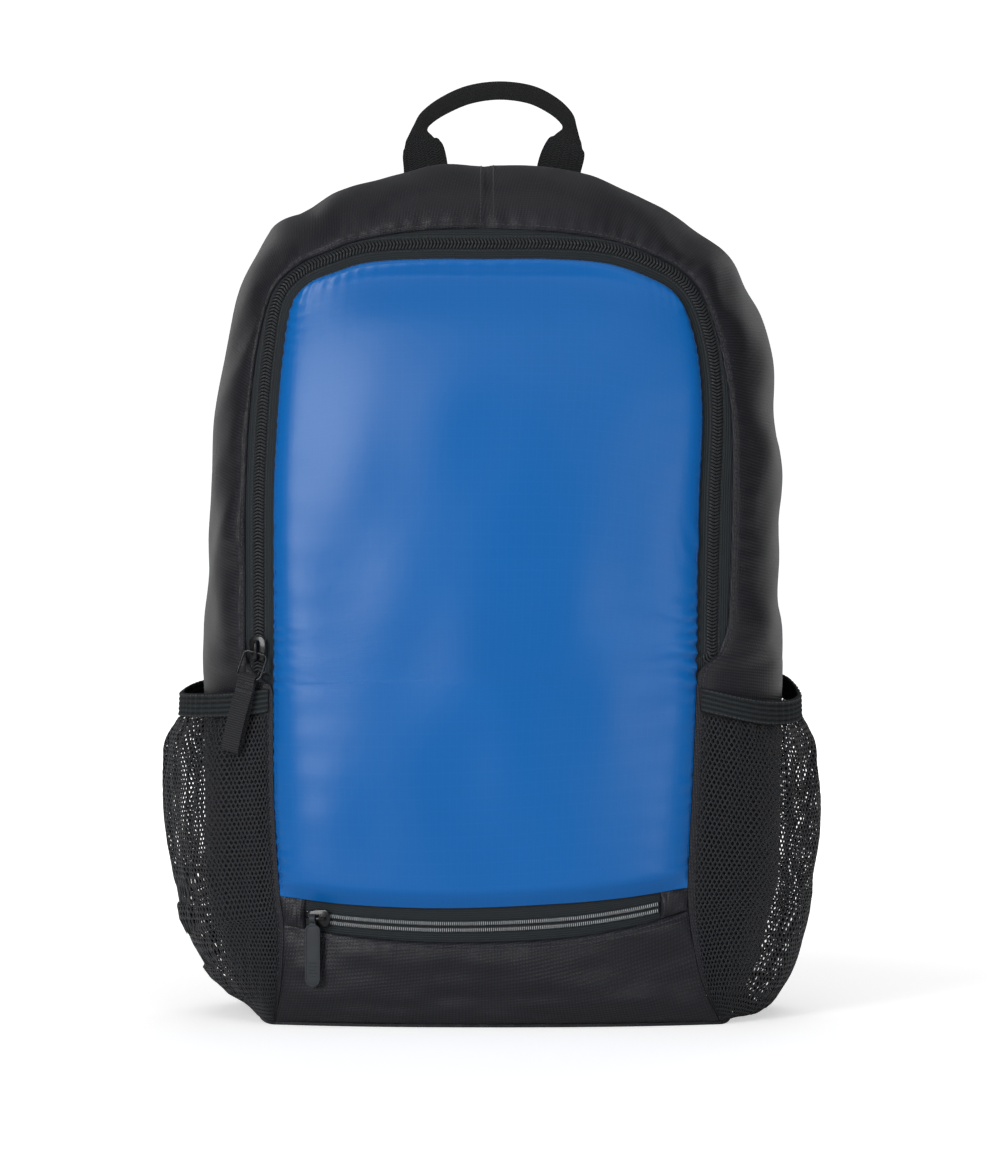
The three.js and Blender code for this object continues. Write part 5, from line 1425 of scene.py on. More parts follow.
main_slider_t = station_at(195.0, "left")
slider_place = chain_line(np.array([main_slider_t]), 0.0, CHAIN_FACE)[0]
main_frame = facing_place(slider_place)
pocket_x = -89.4
pocket_place = on_front(np.array([pocket_x]), pocket_chain_z(np.array([pocket_x])), CHAIN_FACE)[0]
pocket_frame = facing_place(pocket_place)
put("long_zip_slider", joined("long_zip_slider", slider_parts(), main_frame, ENAMEL), "bag",
    ["main_zip_slider"])
put("pocket_slider", joined("pocket_slider", slider_parts(), pocket_frame @ Matrix.Rotation(math.pi / 2, 4, "Y"),
                            ENAMEL), "bag", ["pocket_zip_slider"])
print("sliders at", slider_place.round(1), pocket_place.round(1))

# %% [markdown]
# ## Ring and webbing loop
# A thin wire ring passes through the bail of the long zip's slider, and a loop of narrow webbing is sewn
# through it. The two layers of the loop touch under the ring, where a bar tack holds them, and stand a little
# apart further down.

# %% Ring and webbing loop
RING_WIRE, RING_HALF, RING_HEIGHT, RING_LEAN = 1.4, 6.4, 13.0, 0.32
LOOP_WIDTH, LOOP_WALL, LOOP_LENGTH, LOOP_SWELL = 9.5, 1.1, 39.0, 1.9
ring_hang = Vector((0, -SLIDER_PLATE - BAIL_RISE + (BAIL_BAR + RING_WIRE) / 2 + SEAM_GAP, -BAIL_SPAN * 0.2))
hang_frame = main_frame @ Matrix.Translation(ring_hang) @ Matrix.Rotation(math.radians(14), 4, "Y")


def ring_part():
    outline = rounded_section(2 * RING_HALF, RING_HEIGHT, 2.6, 7)
    line = np.column_stack([outline[:, 0], -RING_LEAN * (RING_HEIGHT / 2 - outline[:, 1]),
                            -(RING_HEIGHT / 2 - outline[:, 1])])
    around = [(RING_WIRE / 2 * math.cos(a), RING_WIRE / 2 * math.sin(a)) for a in np.linspace(0, 2 * math.pi, 13)[:-1]]
    points, faces, _ = swept(line, (0, -1, 0), np.array(around), joined=True)
    return mm_mesh(points, faces)


put("pull_ring", joined("pull_ring", [(ring_part(), Matrix.Identity(4))], hang_frame, ENAMEL), "bag",
    ["main_pull_ring"])

loop_down = [-0.046, -0.02, 0.019, 0.08, 0.17, 0.35, 0.55, 0.8, 0.95, 1]
loop_gap = [0, 0.64, 0.72, 0.34, 0.3, 0.75, 1, 0.95, 0.7, 0]
ahead = [(0, -g * (LOOP_SWELL + LOOP_WALL) - RING_LEAN * RING_HEIGHT, -RING_HEIGHT - d * LOOP_LENGTH)
         for d, g in zip(loop_down, loop_gap)]
behind = [(0, g * (LOOP_SWELL + LOOP_WALL) - RING_LEAN * RING_HEIGHT, -RING_HEIGHT - d * LOOP_LENGTH)
          for d, g in reversed(list(zip(loop_down, loop_gap))[1:-1])]
knots = np.array(ahead + behind)
ring_of_knots = np.vstack([knots[-1:], knots, knots[:2]])
samples = np.linspace(1, len(knots) + 1, len(knots) * 8 + 1)[:-1]
loop_line = through(ring_of_knots, samples)
points, faces, flat = swept(loop_line, (1, 0, 0), rounded_section(LOOP_WIDTH, LOOP_WALL, 0.4, 2), joined=True)
placed = np.array([(hang_frame @ Vector(p))[:] for p in points])
put("pull_webbing", closed_mesh("pull_webbing", placed, faces, flat, BINDING), "bag", ["main_pull_loop"])
tack_rows = []
for down in (2.4, 4.4, 7.2):
    xs = np.arange(-4.1, 4.2, 0.75)
    gap = np.interp(down / LOOP_LENGTH, loop_down, loop_gap)
    y = -gap * (LOOP_SWELL + LOOP_WALL) - RING_LEAN * RING_HEIGHT - LOOP_WALL / 2 - 0.06
    local = [Vector((x, y, -RING_HEIGHT - down)) for x in xs]
    turn = hang_frame.to_3x3()
    tack_rows.append((np.array([(hang_frame @ p)[:] for p in local]),
                      np.tile(np.array((turn @ Vector((0, 0, 1)))[:]), (len(xs), 1)),
                      np.tile(np.array((turn @ Vector((0, -1, 0)))[:]), (len(xs), 1))))
bar_rows("pull_tack", tack_rows, (0, -0.75, -0.1), (0, 0, 0.3), (0, 0.75, -0.1), 0.24, THREAD_PAINTED_GLINT, seed=13)
print("loop hangs to", round(float(placed[:, 2].min()), 1), "mm")

# %% [markdown]
# ## The pocket's moulded pull
# The pull is a soft grey tab with a raised rim round it and a round eye at its top, through which the bail
# passes. Its rim is the same outline set in and pressed down. It is the one piece that swings by itself.

# %% The pocket's pull
PULL_LENGTH, PULL_WIDTH, PULL_WALL = 35.0, 8.0, 1.7
PULL_EYE, PULL_EYE_WIDTH, PULL_CLEAR, BAIL_CORNER = 2.4, 3.2, 0.35, 0.7
eye_stop = BAIL_BAR - BAIL_SPAN / 2 - BAIL_SHIFT + BAIL_CORNER
hinge_local = Vector((eye_stop + PULL_CLEAR + PULL_EYE_WIDTH / 2, -SLIDER_PLATE - BAIL_RISE, 0))
pull_frame = pocket_frame @ Matrix.Translation(hinge_local)


def pull_outline(inset=0.0):
    half, shoulder = PULL_WIDTH / 2 - inset, PULL_EYE + 1.2 + inset
    foot = PULL_WIDTH / 2 - PULL_LENGTH
    turns = [math.pi * (1 + k / 14) for k in range(15)]
    points = [(half * math.cos(turn), foot + half * math.sin(turn)) for turn in turns]
    neck = max(0.9, PULL_EYE_WIDTH / 2 - inset * 0.4)
    right = [(half, -shoulder - 2.2), (half * 0.93, -shoulder - 0.9), (half * 0.66, -shoulder),
             (neck, -shoulder + 0.7)]
    if inset == 0:
        right.append((neck, -PULL_EYE * 0.5))
    return points + right + [(-x, z) for x, z in reversed(right)]


def pull_parts():
    lay = Matrix.Rotation(math.pi / 2, 4, "X")
    core = rounded_off(extruded(pull_outline(), PULL_WALL - 0.5), 0.3)
    rim = rounded_off(extruded(pull_outline(), PULL_WALL, holes=[pull_outline(0.95)[::-1]]), 0.22)
    ribs = []
    for k in range(5):
        bar = [(-1.9, -0.28), (1.9, -0.28), (1.9, 0.28), (-1.9, 0.28)]
        ribs.append((rounded_off(extruded(bar, PULL_WALL - 0.1), 0.15),
                     lay @ Matrix.Translation((0, -PULL_LENGTH + 5.5 + 1.7 * k, 0))))
    bore, ring = math.hypot(BAIL_BAR, BAIL_WIDTH) / 2 + PULL_CLEAR, PULL_EYE
    loop = np.array([(ring * math.cos(a), ring * math.sin(a)) for a in np.linspace(0, 2 * math.pi, 29)[:-1]])
    hole = loop * bore / ring
    eye = rounded_off(extruded(loop.tolist(), PULL_EYE_WIDTH, holes=[hole[::-1].tolist()]), 0.2)
    return [(core, lay), (rim, lay), (eye, Matrix.Rotation(math.pi / 2, 4, "Y")), *ribs]


put("pocket_pull_tab", joined("pocket_pull_tab", pull_parts(), pull_frame, RUBBER), "pull",
    ["pocket_pull"])
print("pull hinge at", [round(v, 2) for v in pull_frame.translation])

# %% [markdown]
# ## Grab handle
# The handle is one length of webbing. Its two feet are sewn flat on the top of the back, and between them it is
# folded in half along its length, so the arch is narrow and thick. The section changes from a flat one to a
# folded one on the way up.

# %% Grab handle
BACK_FACE = HALF_DEPTH + SEAM_GAP
HANDLE_SPAN, HANDLE_TOP, HANDLE_FOOT, HANDLE_SHIFT = 71.0, 487.0, 412.0, 3.4
WEB_WIDTH, HANDLE_FOLD, HANDLE_SET = 24.0, 3.4, 1.2
handle_table = {"out": [0.99, 0.99, 0.99, 1.04, 1.07, 1.1, 1.11, 1.03, 0.8, 0.45, 0],
                "shift": [-0.25, -0.25, -0.2, 0, 0, 0.05, 0.22, 0.45, 0.75, 1, 1],
                "up": [0, 0.2, 0.37, 0.49, 0.55, 0.6, 0.675, 0.75, 0.835, 0.91, 0.938],
                "wide": [0.98, 0.98, 0.98, 0.95, 0.85, 0.62, 0.34, 0.36, 0.4, 0.42, 0.42],
                "thick": [0.47, 0.47, 0.47, 0.48, 0.55, 0.72, 0.95, 1, 1, 1, 1]}
table = np.column_stack([handle_table[k] for k in ("out", "shift", "up", "wide", "thick")])
whole = np.vstack([np.column_stack([-table[:, 0], table[:, 1:]]), table[-2::-1]])
rows = through(whole, np.linspace(0, len(whole) - 1, 141))
folded = np.clip((rows[:, 4] - 0.47) / 0.53, 0, 1)
thick = HANDLE_FOLD * rows[:, 4]
handle_line = np.column_stack([rows[:, 0] * HANDLE_SPAN / 2 + rows[:, 1] * HANDLE_SHIFT,
                               BACK_FACE + thick / 2 + folded * HANDLE_SET - folded * HANDLE_FOLD / 2,
                               HANDLE_FOOT + (HANDLE_TOP - HANDLE_FOOT) * rows[:, 2]])
sections = []
for wide, deep, fold in zip(WEB_WIDTH * rows[:, 3], thick, folded):
    loop = rounded_section(deep, wide, min(deep, wide) * mix(0.3, 0.42, fold), 4)
    crease = 0.5 * fold * np.exp(-((loop[:, 0] / (deep * 0.22)) ** 2)) * (loop[:, 1] < 0)
    loop[:, 1] += crease
    sections.append(loop)
points, faces, flat = swept(handle_line, (0, 1, 0), np.array(sections))
flat = np.column_stack([np.tile(sections[0][:, 1], len(sections)), flat[:, 1]])
put("handle_webbing", closed_mesh("handle_webbing", points, faces, flat, WEBBING, 60), "bag",
    ["grab_handle"])
box_rows = []
for sign in (-1, 1):
    x, half = sign * HANDLE_SPAN / 2 * 0.99 - 0.25 * HANDLE_SHIFT, 9.5
    low, high = HANDLE_FOOT + 3, HANDLE_FOOT + 25
    path = [(x - half, low), (x + half, low), (x + half, high), (x - half, high), (x - half, low), (x + half, high)]
    line = np.array([(a, BACK_FACE + 1.62, b) for a, b in path])
    fine = np.vstack([mix(p, q, np.linspace(0, 1, 20)[:, None]) for p, q in zip(line[:-1], line[1:])])
    box_rows.append(evenly(fine + np.linspace(0, 1e-6, len(fine))[:, None], (0, 1, 0), 2.4))
stitches("handle_stitches", box_rows, THREAD_PAINTED_GLINT, seed=17)
print("handle top", round(float(points[:, 2].max()), 1), "mm")

# %% [markdown]
# ## Shoulder straps
# The straps are foam pads in the black cloth, bound at the edge. A pad swells most along its middle and is held
# thin at the binding, so it is made as a flat shape first, blown up gently by a cloth simulation with a little
# pressure, and then fixed: the move of each point is capped, which keeps the edge and the width as cut.

# %% The straps' middle line
STRAP_WIDTH, STRAP_PAD, STRAP_BOW, STRAP_TOP, STRAP_END = 56.0, 6.0, 34.0, 404.0, 208.0
strap_table = {"at": [0, 0.1, 0.22, 0.38, 0.55, 0.72, 0.86, 0.95, 1],
               "x": [0.3, 0.33, 0.39, 0.46, 0.52, 0.55, 0.56, 0.56, 0.56],
               "bow": [0.0, 0.02, 0.42, 0.88, 1, 0.82, 0.5, 0.3, 0.22],
               "wide": [0.96, 0.97, 1, 1.03, 1.05, 1.02, 0.9, 0.7, 0.5]}


def strap_line(s, sign):
    """Middle points, unit thickness direction and half width of a strap at shares s from its top."""
    x = sign * HALF_WIDTH * along_table(strap_table, "x", s)
    y = BACK_FACE + STRAP_BOW * np.maximum(0, along_table(strap_table, "bow", s)) + STRAP_PAD / 2
    z = mix(STRAP_TOP, STRAP_END, s)
    line = np.stack([x, y, z], axis=-1)
    way = unit(np.gradient(line, axis=0))
    out = unit(np.cross(way, np.array([sign * 1.0, 0, 0])))
    out = np.where(out[:, 1:2] < 0, -out, out)
    return line, out, STRAP_WIDTH * along_table(strap_table, "wide", s) / 2


def strap_points(sign, s, across, lift):
    """Points at shares across (-1 to 1) of a strap, lifted off its middle plane in mm."""
    fine = np.linspace(0, 1, 200)
    line, out, half = strap_line(fine, sign)
    pick = lambda values: np.stack([np.interp(s, fine, values[:, k]) for k in range(3)], axis=-1)
    width = np.interp(s, fine, half)
    base = pick(line)
    base[..., 0] += across * width
    return base + pick(out) * np.asarray(lift)[..., None]


def strap_profile(across):
    """Half thickness of the pad across its width: full in the middle, thin at the binding."""
    return np.maximum(0.32, (1 - np.abs(across) ** 3.2) ** 0.55)


# %% The straps' pads
def blown(piece, pressure, cap_mm, frames=16):
    """A cloth simulation that swells a closed mesh a little; every point may move by cap_mm at most."""
    before = np.empty(len(piece.data.vertices) * 3)
    piece.data.vertices.foreach_get("co", before)
    cloth = piece.modifiers.new("swelling", "CLOTH")
    cloth.settings.quality = 6
    cloth.settings.mass = 0.15
    cloth.settings.tension_stiffness = cloth.settings.compression_stiffness = 30
    cloth.settings.bending_stiffness = 1.5
    cloth.settings.use_pressure = True
    cloth.settings.uniform_pressure_force = pressure
    cloth.settings.effector_weights.gravity = 0
    cloth.point_cache.frame_start, cloth.point_cache.frame_end = 1, frames
    for number in range(1, frames + 1):
        bpy.context.scene.frame_set(number)
    view = bpy.context.evaluated_depsgraph_get()
    settled = piece.evaluated_get(view)
    after = np.empty(len(before))
    settled.data.vertices.foreach_get("co", after)
    move = (after - before).reshape(-1, 3)
    length = np.linalg.norm(move, axis=1, keepdims=True)
    move *= np.minimum(1, cap_mm * MM / np.maximum(length, 1e-9))
    piece.modifiers.remove(cloth)
    piece.data.vertices.foreach_set("co", (before.reshape(-1, 3) + move).ravel())
    piece.data.update()
    bpy.context.scene.frame_set(1)
    return float(length.max() / MM), float(length.mean() / MM)


def strap_pad(side):
    sign = -1 if side == "left" else 1
    rows, columns = 96, 34
    s, a = np.meshgrid(np.linspace(0, 1, rows), np.linspace(-1, 1, columns), indexing="ij")
    half = STRAP_PAD / 2 * strap_profile(a) * 0.8
    seed = 401 if side == "left" else 402
    wrinkle = 0.28 * swell(s * 200 * 1.3, a * 26, 16, seed) * (1 - a**4)
    front = strap_points(sign, s, a, half + wrinkle)
    back = strap_points(sign, s, a, -half + 0.4 * wrinkle)
    points, faces, picked = cloth_wall(front, back, 1)
    flat = np.stack([a * STRAP_WIDTH / 2, s * 205], axis=-1).reshape(-1, 2)[picked]
    mesh = closed_mesh("strap_pad_" + side, points, faces, flat, DOBBY, 80)
    pad = bpy.data.objects.new("strap_pad_" + side, mesh)
    bpy.context.scene.collection.objects.link(pad)
    most, mean = blown(pad, 2.2, 0.9)
    print(pad.name, "swelled by", round(mean, 2), "mm, capped at 0.9 of", round(most, 2))
    lowest = min(v.co.y for v in mesh.vertices)
    if lowest < BACK_FACE * MM:
        for v in mesh.vertices:
            v.co.y = max(v.co.y, BACK_FACE * MM)
    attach(pad, "bag")
    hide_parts("shoulder_strap_" + side)
    return pad


for side in ("left", "right"):
    pad = strap_pad(side)
    print(pad.name, sum(len(p.vertices) - 2 for p in pad.data.polygons), "triangles")

# %% [markdown]
# ## Binding and stitches on the straps
# A strip of grosgrain is folded over the edge of each pad and stitched through. It is a half round swept along
# the edge of the strap, down one side, round the end and up the other.


# %% Strap binding
def strap_edge(sign, inset=0.0):
    down = np.linspace(0.012, 0.992, 120)
    right = strap_points(sign, down, np.full_like(down, 1.0), np.zeros_like(down))
    left = strap_points(sign, down, np.full_like(down, -1.0), np.zeros_like(down))
    right[:, 0] -= inset
    left[:, 0] += inset
    turn = np.linspace(1, -1, 24)[1:-1]
    end = strap_points(sign, np.full_like(turn, 0.992), turn, np.zeros_like(turn))
    end[:, 2] += inset
    return np.vstack([right, end, left[::-1]])


def strap_binding(side):
    sign = -1 if side == "left" else 1
    line = strap_edge(sign, 0.4)
    line = through(line, np.linspace(0, len(line) - 1, 340))
    section = rounded_section(3.4, 2.6, 1.1, 3)
    points, faces, flat = swept(line, (0, 1, 0), section[:, ::-1])
    points[:, 1] = np.maximum(points[:, 1], BACK_FACE)
    put("strap_binding_" + side, closed_mesh("strap_binding_" + side, points, faces, flat, BINDING, 60), "bag")
    inner = strap_edge(sign, 3.2)
    rows = []
    for face in (1, -1):
        lifted = inner + np.array([0, face * 1.75, 0])
        rows.append(evenly(lifted, (0, face, 0), 3.0))
    stitches("strap_stitches_" + side, rows, THREAD_PAINTED_GLINT, length=2.3, seed=19)


for side in ("left", "right"):
    strap_binding(side)

# %% [markdown]
# ## Webbing and ladder locks
# Each strap ends in a short webbing that holds a ladder lock. The lower webbing comes from the foot of the bag,
# goes round the middle bar of the lock, and hangs down as a free tail. The lock is moulded with round edges.

# %% Webbing and ladder locks
STRAP_WEB, STRAP_WEB_WALL, LOCK_WIDTH, LOCK_HEIGHT, LOCK_WALL, LOCK_BAR = 20.0, 1.4, 27.0, 27.0, 3.4, 3.6
LOCK_TOP, LOCK_STAND, TAIL_LENGTH = 197.0, 9.0, 96.0
ANCHOR_X, ANCHOR_Z, ANCHOR_SIDE, ANCHOR_WALL = 100.0, 34.0, 46.0, 1.8
strap_end_x = HALF_WIDTH * strap_table["x"][-1]
lock_y = BACK_FACE + LOCK_STAND + LOCK_WALL / 2
web_half = STRAP_WEB_WALL / 2
turn_out = LOCK_WALL / 2 + SEAM_GAP + web_half
bar_turn = [(turn_out, -LOCK_BAR), (turn_out, 0),
            (LOCK_WALL / 2 + 0.75 * (SEAM_GAP + web_half), 0.8 * (SEAM_GAP + web_half)),
            (LOCK_WALL / 2, 1.1 * (SEAM_GAP + web_half))]


def around_bar(x, edge_z, up):
    outer = [(x, lock_y + out, edge_z + up * past) for out, past in bar_turn]
    inner = [(x, lock_y - out, edge_z + up * past) for out, past in bar_turn]
    return outer + inner[::-1]


def webbing_piece(name, line, node, finish=None, width=STRAP_WEB, per_piece=6):
    """Flat webbing along a line; straight runs stay straight because the line is only rounded a little."""
    line = np.array(line, float)
    fine = np.vstack([mix(a, b, np.linspace(0, 1, per_piece, endpoint=False)[:, None])
                      for a, b in zip(line[:-1], line[1:])] + [line[-1:]])
    for _ in range(3):
        fine[1:-1] = 0.25 * fine[:-2] + 0.5 * fine[1:-1] + 0.25 * fine[2:]
    section = rounded_section(width, STRAP_WEB_WALL, 0.6, 3)
    points, faces, flat = swept(fine, (1, 0, 0), section)
    return put(name, closed_mesh(name, points, faces, flat, finish or WEBBING, 60), "bag", [node])


def ladder_lock(side):
    sign = -1 if side == "left" else 1
    slot_wide, slot_high = STRAP_WEB + 1, (LOCK_HEIGHT - 3 * LOCK_BAR) / 2
    shift = (slot_high + LOCK_BAR) / 2
    outline = rounded_section(LOCK_WIDTH, LOCK_HEIGHT, 2.6, 5).tolist()
    slots = [(rounded_section(slot_wide, slot_high, 1.2, 3) + (0, shift * k)).tolist()[::-1] for k in (1, -1)]
    frame_plate = rounded_off(extruded(outline, LOCK_WALL, slots), 0.7)
    lip = rounded_off(extruded(rounded_section(LOCK_WIDTH - 5, 3.0, 1.3, 4).tolist(), 1.3), 0.5)
    lay = Matrix.Rotation(math.pi / 2, 4, "X")
    place = Matrix.Translation((sign * strap_end_x, lock_y, LOCK_TOP - LOCK_HEIGHT / 2))
    parts = [(frame_plate, lay), (lip, Matrix.Translation((0, LOCK_WALL / 2 + 0.3, -LOCK_HEIGHT / 2 + 1.8)) @ lay)]
    put("ladder_lock_moulded_" + side, joined("ladder_lock_moulded_" + side, parts, place, ACETAL), "bag",
        ["ladder_lock_" + side])


def strap_ends(side):
    sign = -1 if side == "left" else 1
    x = sign * strap_end_x
    sewn = STRAP_PAD / 2 + SEAM_GAP + web_half

    def middle_y(z):
        bow = float(along_table(strap_table, "bow", (STRAP_TOP - z) / (STRAP_TOP - STRAP_END)))
        return BACK_FACE + STRAP_BOW * bow + STRAP_PAD / 2

    pad = lambda face: [(x, middle_y(STRAP_END + above) + face * sewn, STRAP_END + above) for above in (20, 10, 0)]
    webbing_piece("lock_webbing_" + side, pad(1) + around_bar(x, LOCK_TOP - LOCK_BAR, -1) + pad(-1)[::-1],
                  "strap_loop_" + side)
    foot_x, lock_foot = sign * ANCHOR_X, LOCK_TOP - LOCK_HEIGHT
    bar_top = LOCK_TOP - LOCK_HEIGHT / 2 + LOCK_BAR / 2
    sewn_y = BACK_FACE + ANCHOR_WALL + SEAM_GAP + web_half

    def climb(share):
        return (mix(foot_x, x, share), mix(sewn_y, lock_y - turn_out, float(ease(share))),
                mix(ANCHOR_Z + 0.304 * ANCHOR_SIDE, lock_foot, share))

    tail = [(x - sign * 2 * share, lock_y + turn_out + 0.2 + 2 * math.sin(share * 3) - 2.5 * share,
             lock_foot - TAIL_LENGTH * share) for share in (0, 0.35, 0.7, 1)]
    line = [(foot_x, sewn_y, ANCHOR_Z - 0.087 * ANCHOR_SIDE), climb(0), climb(0.3), climb(0.65), climb(1),
            *around_bar(x, bar_top, 1)[::-1], *tail]
    webbing_piece("lower_webbing_" + side, line, "strap_webbing_" + side)
    ladder_lock(side)
    rows = []
    for above in (3.5, 6.5, 13.5, 16.5):
        z = STRAP_END + above
        y = middle_y(z) + sewn + web_half + 0.02
        xs = np.linspace(x - 8.5, x + 8.5, 40)
        line = np.column_stack([xs, np.full(40, y), np.full(40, z)])
        rows.append(evenly(line, (0, 1, 0), 1.9))
    for high in (ANCHOR_Z + 1, ANCHOR_Z + 4, ANCHOR_Z + 10):
        xs = np.linspace(foot_x - 8.5, foot_x + 8.5, 40)
        line = np.column_stack([xs, np.full(40, sewn_y + web_half + 0.05), np.full(40, high)])
        rows.append(evenly(line, (0, 1, 0), 1.9))
    stitches("webbing_tacks_" + side, rows, THREAD_PAINTED_GLINT, length=1.7, seed=23)


for side in ("left", "right"):
    strap_ends(side)

# %% [markdown]
# ## Back panel, anchors and base
# The back is one panel of the black cloth with a thin foam behind it. It lies flat against the wearer, so it
# only swells a little between its bound edge and two upright lines of quilting. The base is a plain flat panel,
# and a small triangle of doubled cloth takes each lower webbing into the corner.


# %% The back panel
def back_outline(count=420):
    t = np.interp(np.linspace(0, band_runs[-1], count), band_runs, band_stations)
    place, out, _, reach = seam_at(t)
    return place + out * (reach - BACK_INSET - SEAM_GAP)[:, None]


def filled_panel(name, outline, spacing, height_at, plane, wall, finish, nodes):
    """A closed panel inside an outline (n, 2); height_at gives how far its face stands off the plane."""
    outline = np.asarray(outline)
    low, high = outline.min(axis=0), outline.max(axis=0)
    xs, ys = np.arange(low[0], high[0], spacing), np.arange(low[1], high[1], spacing)
    grid = np.stack(np.meshgrid(xs, ys), axis=-1).reshape(-1, 2)
    nxt = np.roll(outline, -1, axis=0)
    inside = np.zeros(len(grid), bool)
    gap = np.full(len(grid), 1e9)
    for (ax, ay), (bx, by) in zip(outline, nxt):
        cross = ((ay > grid[:, 1]) != (by > grid[:, 1]))
        at = ax + (grid[:, 1] - ay) / (by - ay if by != ay else 1e-9) * (bx - ax)
        inside ^= cross & (grid[:, 0] < at)
        way = np.array([bx - ax, by - ay])
        share = np.clip(((grid - (ax, ay)) @ way) / max(way @ way, 1e-9), 0, 1)
        gap = np.minimum(gap, np.linalg.norm(grid - (ax, ay) - share[:, None] * way, axis=1))
    keep = inside & (gap > spacing * 0.6)
    points = np.vstack([outline, grid[keep]])
    edge_gap = np.concatenate([np.zeros(len(outline)), gap[keep]])
    made = delaunay_2d_cdt([Vector(p) for p in points], [], [list(range(len(outline)))], 1, 1e-6)
    flat = np.array([v[:] for v in made[0]])
    triangles = [tuple(f) for f in made[2]]
    near = np.full(len(flat), 0.0)
    for k, source in enumerate(made[3]):
        near[k] = edge_gap[source[0]] if source else 0.0
    face = plane(flat, height_at(flat, near))
    back = plane(flat, np.full(len(flat), -wall))
    count = len(flat)
    faces = list(triangles)
    used = {way for a, b, c in triangles for way in ((a, b), (b, c), (c, a))}
    border = [(p, q) for p, q in used if (q, p) not in used]
    faces += [(a + count, c + count, b + count) for a, b, c in triangles]
    faces += [(q, p, p + count, q + count) for p, q in border]
    cut = np.vstack([flat, flat])
    mesh = closed_mesh(name, np.vstack([face, back]), faces, cut, finish, 50)
    return put(name, mesh, "bag", nodes)


def back_height(flat, gap):
    x, z = flat[:, 0], flat[:, 1]
    edge = 1 - np.exp(-gap / 7)
    quilt = sum(np.exp(-(((x - line) / 2.2) ** 2)) for line in (-34.0, 34.0)) * ((z > 60) & (z < 385))
    height = 2.0 * edge + edge * (0.9 * swell(x, z, 46, 501) + 0.3 * swell(x, z, 18, 502)) - 1.3 * quilt * edge
    clear = np.clip((np.abs(z - 404) - 16) / 16, 0, 1)
    low = np.clip((z - 84) / 20, 0, 1)
    return np.clip(height, 0, 3.2) * np.minimum(clear, low)


def back_plane(flat, height):
    return np.column_stack([flat[:, 0], HALF_DEPTH + height, flat[:, 1]])


back_cloth = filled_panel("back_cloth", back_outline(), 5.0, back_height, back_plane, CLOTH_WALL, DOBBY,
                          ["back_panel"])


# %% Back seam's binding, quilting, base and anchors
def back_binding():
    outline = back_outline(300)
    line = np.column_stack([outline[:, 0], np.full(len(outline), HALF_DEPTH + 0.9), outline[:, 1]])
    line = line[(line[:, 2] > 6)]
    section = rounded_section(2.6, 4.2, 1.2, 3)
    points, faces, flat = swept(line, (0, 1, 0), section)
    put("back_binding", closed_mesh("back_binding", points, faces, flat, BINDING, 60), "bag")
    rows = []
    for line_x in (-34.0, 34.0):
        z = np.linspace(62, 383, 200)
        height = back_height(np.column_stack([np.full(200, line_x), z]), np.full(200, 60.0))
        path = np.column_stack([np.full(200, line_x), HALF_DEPTH + height, z])
        rows.append(evenly(path, (0, 1, 0), 3.2))
    stitches("back_quilting", rows, THREAD_PAINTED_GLINT, length=2.5, seed=29)


def base_cloth():
    left_x, right_x = seam_at(np.array([0.0]))[0][0, 0], seam_at(np.array([LAST_STATION]))[0][0, 0]
    x = np.linspace(left_x, right_x, 30)
    front = np.column_stack([x, front_y(x, np.full(30, FOOT_LEVEL))])
    q = np.linspace(0, 1, 24)[1:]
    right = band_point(np.full(23, LAST_STATION), q)[:, :2]
    left = band_point(np.zeros(23), q)[::-1, :2]
    outline = np.vstack([front, right, left])
    level = lambda flat, gap: np.zeros(len(flat))
    plane = lambda flat, h: np.column_stack([flat[:, 0], flat[:, 1], np.where(h < 0, 0.0, BASE_WALL)])
    piece = filled_panel("base_cloth", outline, 9.0, level, plane, BASE_WALL, DOBBY,
                         ["base_panel"])


def anchor(side):
    sign = -1 if side == "left" else 1
    corners = [(0.304, -0.478), (0.304, 0.522), (-0.261, 0.261), (-0.304, -0.174)]
    outline = [(sign * (ANCHOR_X + a * ANCHOR_SIDE), ANCHOR_Z + u * ANCHOR_SIDE) for a, u in corners]
    plate = rounded_off(extruded(outline, ANCHOR_WALL), 0.5)
    place = Matrix.Translation((0, BACK_FACE + ANCHOR_WALL / 2, 0))
    mesh = joined("anchor_cloth_" + side, [(plate, Matrix.Rotation(math.pi / 2, 4, "X"))], place, DOBBY)
    layer = mesh.uv_layers.get("cloth") or mesh.uv_layers.new(name="cloth")
    for loop in mesh.loops:
        co = mesh.vertices[loop.vertex_index].co
        layer.data[loop.index].uv = (co.x, co.z)
    piece = put("anchor_cloth_" + side, mesh, "bag", ["strap_anchor_" + side])
    centre = np.mean(outline, axis=0)
    inner = np.array([centre + (np.array(p) - centre) * 0.86 for p in outline + outline[:1]])
    line = np.vstack([mix(a, b, np.linspace(0, 1, 12)[:, None]) for a, b in zip(inner[:-1], inner[1:])])
    line = np.column_stack([line[:, 0], np.full(len(line), BACK_FACE + ANCHOR_WALL + 0.02), line[:, 1]])
    line = line + np.linspace(0, 1e-6, len(line))[:, None]
    stitches("anchor_stitches_" + side, [evenly(line, (0, 1, 0), 2.6)], THREAD_PAINTED_GLINT, seed=31)
    return piece


back_binding()
base_cloth()
for side in ("left", "right"):
    anchor(side)
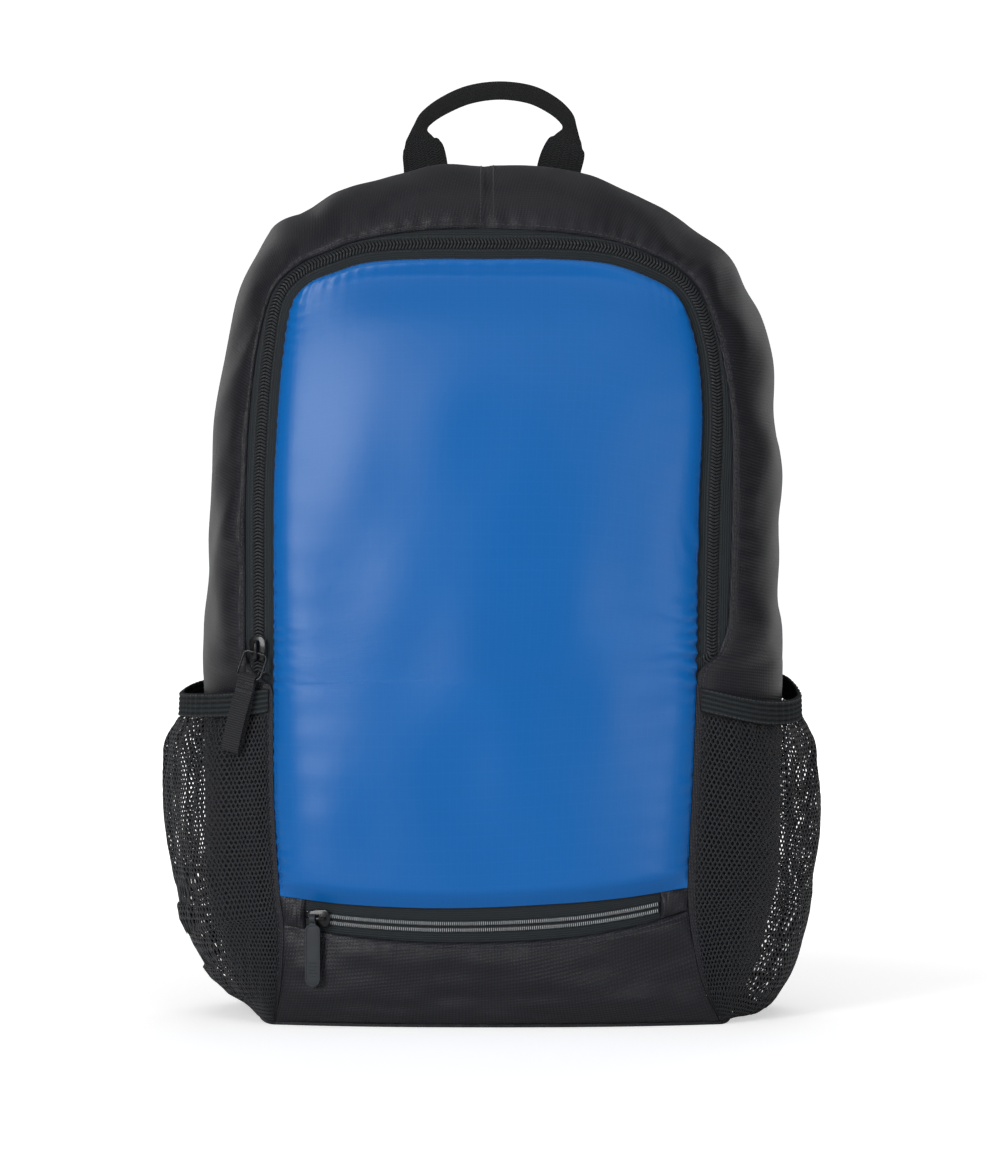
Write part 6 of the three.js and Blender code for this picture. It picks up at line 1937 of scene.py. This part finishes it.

# %% [markdown]
# ## Topstitching
# Rows of stitches run beside the seams that show: along both hems of the zip, round the blue panel, over the
# pocket and along the elastic. The thread is the cloth's own colour, so it reads as a line of small dents and
# glints; its finish is painted a little paler, as painted glints.


# %% Topstitching
def line_on(cloth, a, b, lift=0.05):
    point, normal = cloth(a, b)
    return point + normal * lift, normal


band_rows, blue_rows = [], []
start_left, start_right = station_at(20, "left"), station_at(20, "right")
for low, high in ((start_left, TOP_STATION - 0.03), (TOP_STATION + 0.03, start_right)):
    runs = np.linspace(np.interp(low, band_stations, band_runs), np.interp(high, band_stations, band_runs), 700)
    t = np.interp(runs, band_runs, band_stations)
    share = 2.4 / BAND_DEPTH
    band_rows.append(evenly(*line_on(band_cloth, t, np.full_like(t, share), 0.12), 3.0))
    band_rows.append(evenly(*line_on(band_cloth, t, np.full_like(t, 1 - 3.4 / BAND_DEPTH)), 3.0))
for sign in (-1, 1):
    q = np.linspace(0.03, 0.9, 120)
    run = top_run + sign * 3.2
    t = np.full_like(q, float(np.interp(run, band_runs, band_stations)))
    band_rows.append(evenly(*line_on(band_cloth, t, q), 2.4))
stitches("band_topstitch", band_rows, THREAD_PAINTED_GLINT, seed=37)

v = np.linspace(0.012, 0.985, 400)
u = np.linspace(0.02, 0.98, 300)
blue_rows.append(evenly(*line_on(blue_cloth, np.full_like(v, 1.7 / BLUE_WIDE), v, 0.0), 2.4))
blue_rows.append(evenly(*line_on(blue_cloth, np.full_like(v, 1 - 1.7 / BLUE_WIDE), v, 0.0), 2.4))
blue_rows.append(evenly(*line_on(blue_cloth, u, np.full_like(u, 1 - 1.7 / BLUE_TALL), 0.0), 2.4))
stitches("blue_topstitch", blue_rows, BLUE_THREAD, seed=41, thread=0.2)

pocket_rows_sewn = []
for depth in (2.3, 4.6):
    pocket_rows_sewn.append(evenly(*line_on(pocket_cloth, u, np.full_like(u, 1 - depth / POCKET_CUT)), 2.4))
stitches("pocket_topstitch", pocket_rows_sewn, THREAD_PAINTED_GLINT, seed=43)

mesh_rows = []
for side in ("left", "right"):
    s = np.linspace(0.01, 0.99, 300)
    for up in (0.07, 0.93):
        point, normal = rim_point(side, np.full_like(s, up), s, BAND_WALL - 0.12)
        mesh_rows.append(evenly(point, normal, 2.6))
stitches("rim_stitches", mesh_rows, THREAD_PAINTED_GLINT, seed=47, length=1.9)
